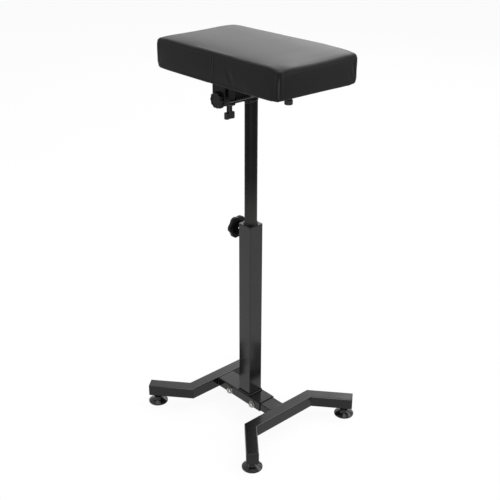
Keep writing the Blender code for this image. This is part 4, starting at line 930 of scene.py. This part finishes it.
def uneven(mesh):
    spots = places(mesh)
    x, y, z = spots.T
    u, v = (x - PAD_MID.x) / PAD_HALF.x, (y - PAD_MID.y) / PAD_HALF.y
    back = np.interp(u, *LEFT_SHARE) * ((v + 1) / 2).clip(0) ** np.interp(u, *LEFT_BEND)
    rise = FAR_RISE * ((FAR_FADE[0] - u) / FAR_FADE[1]).clip(0, 1) * back
    rise += (NEAR_SLOPE * u + NEAR_LIFT) * (1 - v) / 2
    rise -= SOFT_DROP * (1 - np.hypot(PAD_HIGH.x - x, y - PAD_LOW.y) / SOFT_REACH).clip(0, 1) ** 2
    end = ((u - SIDE_START) / (1 - SIDE_START)).clip(0, 1) ** 2
    rise -= SIDE_DROP * end * (1 - v * v).clip(0, 1) * (1 + SIDE_LEAN * v)
    sides = np.stack([y - PAD_LOW.y, PAD_HIGH.x - x, PAD_HIGH.y - y, x - PAD_LOW.x])
    sags = np.stack([np.interp(u, *SAG_FRONT), np.interp(v, *SAG_RIGHT), np.full_like(u, SAG_ELSEWHERE),
                     np.full_like(u, SAG_ELSEWHERE)])
    nearest = sides.argmin(axis=0)
    taper = np.array([PAD_HALF.y - RIM_HALF[1], PAD_HALF.x - RIM_HALF[0]] * 2)[nearest]
    inset, sag = sides.min(axis=0) - taper, np.take_along_axis(sags, nearest[None], 0)[0]
    low = (1 - (z - UNDERSIDE) / SAG_HEIGHT).clip(0, 1) ** 2 * (1 - inset / SAG_INSET).clip(0, 1)
    spots[:, 2] += rise * eased((z - PAD_MID.z + RISE_LOW) / RISE_HEIGHT) - sag * low
    place_all(mesh, spots)


def corner_drop(co):
    """How far the gathered vinyl hangs down at the foot of the pad's corners."""
    near = max(0.0, 1 - math.hypot(*insets(co)) / GATHER_REACH)
    low = max(0.0, 1 - (co.z - UNDERSIDE) / GATHER_HEIGHT)
    seen = co.x > PAD_MID.x and co.y < PAD_MID.y
    return (GATHER_DROP if seen else 0.5 * GATHER_DROP) * near * low


def make_cushion():
    bm = bmesh.new()
    bm.from_mesh(nodes["pad_cushion"].data)
    bmesh.ops.remove_doubles(bm, verts=bm.verts, dist=0.00002)
    mesh = bpy.data.meshes.new("pad_cover")
    bm.to_mesh(mesh)
    bm.free()
    cover = bpy.data.objects.new("pad_cover", mesh)
    bpy.context.scene.collection.objects.link(cover)
    remesh = cover.modifiers.new("remesh", "REMESH")
    remesh.mode = "VOXEL"
    remesh.voxel_size = VOXEL
    settle(cover)
    solid = tree_of(mesh)
    flatness = np.array([max(abs(c) for c in v.normal) > FLAT_NORMAL for v in cover.data.vertices])
    weight = np.where(flatness, FLAT_WEIGHT, BENT_WEIGHT)[:, None]
    base = evened(cover.data, places(cover.data), FLAT_PASSES, weight)
    shares = ((base[:, :2] - PAD_MID[:2]) / PAD_HALF[:2]).clip(-1, 1) ** 2
    base[:, 2] -= np.where(base[:, 2] > PAD_MID.z, CROWN_FALL * (1 - shares[:, 0]) * (1 - shares[:, 1]), 0)
    place_all(cover.data, base)
    shrink(cover.data)
    puffed(cover)
    swell = evened(cover.data, places(cover.data) - base, EVEN_PASSES, 0.5)
    place_all(cover.data, base + swell)
    fine = cover.modifiers.new("fine", "SUBSURF")
    fine.levels = 1
    fine.render_levels = 1
    settle(cover)
    sharpened(cover.data, solid)
    calmed(cover.data)
    refine_seams(cover.data)
    for v in cover.data.vertices:
        v.co += crease_shift(v.co) + seam_shift(v.co)
        v.co.z = max(v.co.z, UNDERSIDE) - corner_drop(v.co)
    uneven(cover.data)
    cover.data.shade_smooth()
    cover.data.materials.clear()
    cover.data.materials.append(LEATHERETTE)
    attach(cover, "pad")
    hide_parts("pad_cushion")
    return tree_of(cover.data)


# Stitches, hem and staples

STITCH_RADIUS = 0.00032
STITCH_SLANT = 0.35
STITCH_LIFT = 0.0001
HEM_THICKNESS = 0.0009
HEM_LIFT = 0.00015
HEM_INNER = (BOARD_HIGH.x - PAD_MID.x - 0.0145, BOARD_HIGH.y - PAD_MID.y - 0.0105)
HEM_INSET = 0.0040
HEM_CORNER = 0.0035
HEM_STEP = 0.0022
HEM_ROWS = 7
HEM_EDGE = 0.0006
RIPPLE = 0.00022
RIPPLE_SCALE = 60
PLEAT = 0.0005
PLEAT_REACH = 0.035
PLEAT_SCALE = 520
STAPLE_INSET = 0.0028
STAPLE_CORNER = 0.006
STAPLE_PITCH = 0.0245
STAPLE_RADIUS = 0.00035
STAPLE_DROP = 0.0004
STAPLE_SHIFT = 0.001
STAPLE_LEAN = 0.35
# Places along a staple's wire, and how far its bent ends rise into the vinyl.
STAPLE_WIRE = ((-0.0052, 0.0006), (-0.0050, 0.0001), (-0.0044, 0), (0, 0), (0.0044, 0), (0.0050, 0.0001),
               (0.0052, 0.0006))


def make_stitches(cover):
    """Short stitches that cross each side seam, laid on the bottom of its groove."""
    pieces = []
    for side in (-1, 1):
        inward = Vector((0, -side, 0))
        z = UNDERSIDE + 0.006
        while z < BAND_TOP - 0.003:
            ends = []
            for x in (-0.0013, -0.0007, 0, 0.0007, 0.0013):
                outside = Vector((SEAM_X + x, PAD_MID.y + side * PAD_HIGH.z, z + x * STITCH_SLANT))
                ends.append(cover.ray_cast(outside, inward)[0] - inward * STITCH_LIFT)
            pieces.append(bead(ends, STITCH_RADIUS, 0.0006, 6, False, 0.08))
            z += STITCH_PITCH
    add_piece("seam_stitches", joined("seam_stitches", pieces), THREAD, "pad")


def make_hem():
    """The cover's edge, folded under the board and stapled, with pleats at its corners."""
    outer = rounded_path(RIM_HALF[0] - HEM_INSET, RIM_HALF[1] - HEM_INSET, HEM_CORNER, HEM_STEP, 0)
    points = []
    for p in outer:
        inner = Vector((math.copysign(min(abs(p.x), HEM_INNER[0]), p.x),
                        math.copysign(min(abs(p.y), HEM_INNER[1]), p.y), 0))
        from_corner = Vector((abs(p.x) - RIM_HALF[0], abs(p.y) - RIM_HALF[1])).length
        corner = max(0.0, 1 - from_corner / PLEAT_REACH)
        for k in range(HEM_ROWS):
            share = k / (HEM_ROWS - 1)
            spot = p.lerp(inner, share)
            ripple = RIPPLE * noise.noise(Vector((spot.x * RIPPLE_SCALE, spot.y * RIPPLE_SCALE, 3)))
            pleat = PLEAT * corner * abs(math.sin((p.x + p.y) * PLEAT_SCALE)) * (0.4 + share)
            edge = HEM_EDGE if k == 0 else 0.0
            points.append(Vector((PAD_MID.x + spot.x, PAD_MID.y + spot.y,
                                  UNDERSIDE - HEM_LIFT - HEM_THICKNESS - abs(ripple) - pleat + edge)))
        for k in reversed(range(HEM_ROWS)):
            spot = p.lerp(inner, k / (HEM_ROWS - 1))
            points.append(Vector((PAD_MID.x + spot.x, PAD_MID.y + spot.y, UNDERSIDE - HEM_LIFT)))
    faces = grid_faces(len(outer), HEM_ROWS * 2, True)
    add_piece("pad_hem", mesh_of("pad_hem", points, faces), HEM, "pad")


def make_staples():
    half_x, half_y = (half + STAPLE_INSET for half in HEM_INNER)
    path = rounded_path(half_x, half_y, STAPLE_CORNER, STAPLE_PITCH, 0)
    pieces = []
    z = UNDERSIDE - HEM_LIFT - HEM_THICKNESS - STAPLE_DROP
    for i, place in enumerate(path):
        after = path[(i + 1) % len(path)]
        lean = Matrix.Rotation(random.uniform(-STAPLE_LEAN, STAPLE_LEAN), 3, "Z")
        forward = lean @ (after - place).normalized()
        shift = Vector((random.uniform(-1, 1), random.uniform(-1, 1), 0)) * STAPLE_SHIFT
        spot = place.lerp(after, 0.5) + shift + Vector((PAD_MID.x, PAD_MID.y, 0))
        wire = [spot + forward * x + UP * (z + lift) for x, lift in STAPLE_WIRE]
        pieces.append(bead(wire, STAPLE_RADIUS, 0.01, 6, False, 0))
    add_piece("hem_staples", joined("hem_staples", pieces), BLACK_STEEL, "pad")


weld_post()
weld_stubs()
weld_arm()
make_rib()
weld_rib()
weld_boss()
make_threads()
make_stitches(make_cushion())
make_hem()
make_staples()


# Floor, world, lamps and camera

FLOOR_SIZE = 30.0
FLOOR_SHADE = 0.93
FLOOR_WHITE_SHARE = 0.92
WORLD_LIGHT = 0.50
PAD_TOP = (0, 0, 0.93)
POST_MIDDLE = (0, 0, 0.5)
# Each lamp has its name, its place, the place that it faces, its size and its power in watts. To the camera,
# right_high is mirrored in the pad's right rim, back and back_right in its top, back_high in the base's tops
# and front_low in the pad's near corner.
LAMPS = [
    ("overhead", (-0.4, 0.5, 2.9), (0, 0, 0.6), (2.4, 2.4), 30),
    ("right_high", (0.08, 2.30, 2.86), PAD_TOP, (4.2, 1.2), 48),
    ("back", (-2.27, 3.77, 2.22), PAD_TOP, (4.0, 1.3), 20),
    ("back_right", (-1.65, 4.08, 2.22), PAD_TOP, (3.4, 1.3), 14),
    ("back_high", (-4.30, 4.15, 3.85), (0, 0, 0), (4.0, 2.0), 9),
    ("front_left", (-1.4, -2.6, 1.7), POST_MIDDLE, (1.0, 1.8), 9),
    ("right", (2.25, 1.80, 1.55), POST_MIDDLE, (1.0, 1.8), 18),
    ("front_low", (1.20, -1.08, 0.45), (0.2, -0.12, 0.91), (1.5, 0.55), 14),
]
# The camera that a least-squares fit to the photograph's edges gave.
CAMERA_PLACE = (1.40758, -1.28496, 1.34284)
CAMERA_RIGHT = Vector((0.67252551, 0.74006764, 0.00305532))
CAMERA_BACK = Vector((0.66936945, -0.61003019, 0.42403739))
CAMERA_SENSOR = 36.0
CAMERA_LENS = 63.494


def empty_tree(owner):
    owner.use_nodes = True
    owner.node_tree.nodes.clear()
    return owner.node_tree


def plain_shader(tree, kind, colour, strength=None):
    """A shader of one colour, and of one strength if it shines."""
    made = tree.nodes.new(kind)
    made.inputs["Color"].default_value = colour
    if strength is not None:
        made.inputs["Strength"].default_value = strength
    return made.outputs[0]


def camera_or_mirror(tree):
    """1 for the rays of the camera, of mirrors and of glass, to which the studio is white, and 0 for others."""
    path = tree.nodes.new("ShaderNodeLightPath")
    seen = path.outputs["Is Camera Ray"]
    for ray in ("Is Glossy Ray", "Is Transmission Ray"):
        either = tree.nodes.new("ShaderNodeMath")
        either.operation = "MAXIMUM"
        tree.links.new(seen, either.inputs[0])
        tree.links.new(path.outputs[ray], either.inputs[1])
        seen = either.outputs["Value"]
    return seen


def show_mixed(tree, kind, factor, first, second):
    """Mix two shaders by the factor and lead them to the tree's output."""
    mix = tree.nodes.new("ShaderNodeMixShader")
    for socket, source in enumerate((factor, first, second)):
        tree.links.new(source, mix.inputs[socket])
    tree.links.new(mix.outputs[0], tree.nodes.new(kind).inputs["Surface"])


def make_floor():
    half = FLOOR_SIZE / 2
    mesh = mesh_of("studio_floor", [(-half, -half, 0), (half, -half, 0), (half, half, 0), (-half, half, 0)],
                   [(0, 1, 2, 3)], False)
    floor = bpy.data.objects.new("studio_floor", mesh)
    bpy.context.scene.collection.objects.link(floor)
    material = bpy.data.materials.new("studio_floor")
    tree = empty_tree(material)
    share = tree.nodes.new("ShaderNodeMath")
    share.operation = "MULTIPLY"
    share.inputs[1].default_value = FLOOR_WHITE_SHARE
    tree.links.new(camera_or_mirror(tree), share.inputs[0])
    show_mixed(tree, "ShaderNodeOutputMaterial", share.outputs["Value"],
               plain_shader(tree, "ShaderNodeBsdfDiffuse", (FLOOR_SHADE, FLOOR_SHADE, FLOOR_SHADE, 1)),
               plain_shader(tree, "ShaderNodeEmission", WHITE, 1.0))
    mesh.materials.append(material)


def make_world():
    world = bpy.data.worlds.new("studio")
    bpy.context.scene.world = world
    tree = empty_tree(world)
    show_mixed(tree, "ShaderNodeOutputWorld", camera_or_mirror(tree),
               plain_shader(tree, "ShaderNodeBackground", WHITE, WORLD_LIGHT),
               plain_shader(tree, "ShaderNodeBackground", WHITE, 1.0))


def make_lamp(name, place, target, size, power):
    data = bpy.data.lights.new(name, "AREA")
    data.shape = "RECTANGLE"
    data.size, data.size_y = size
    data.energy = power
    lamp = bpy.data.objects.new(name, data)
    bpy.context.scene.collection.objects.link(lamp)
    lamp.location = place
    lamp.rotation_euler = (Vector(target) - Vector(place)).to_track_quat("-Z", "Y").to_euler()


def make_camera():
    data = bpy.data.cameras.new("camera")
    data.sensor_width = CAMERA_SENSOR
    data.lens = CAMERA_LENS
    camera = bpy.data.objects.new("camera", data)
    bpy.context.scene.collection.objects.link(camera)
    turn = Matrix((CAMERA_RIGHT, CAMERA_BACK.cross(CAMERA_RIGHT), CAMERA_BACK)).transposed()
    camera.matrix_world = Matrix.Translation(CAMERA_PLACE) @ turn.to_4x4()
    bpy.context.scene.camera = camera


make_floor()
make_world()
for lamp in LAMPS:
    make_lamp(*lamp)
make_camera()
bpy.context.scene.view_settings.view_transform = "Standard"
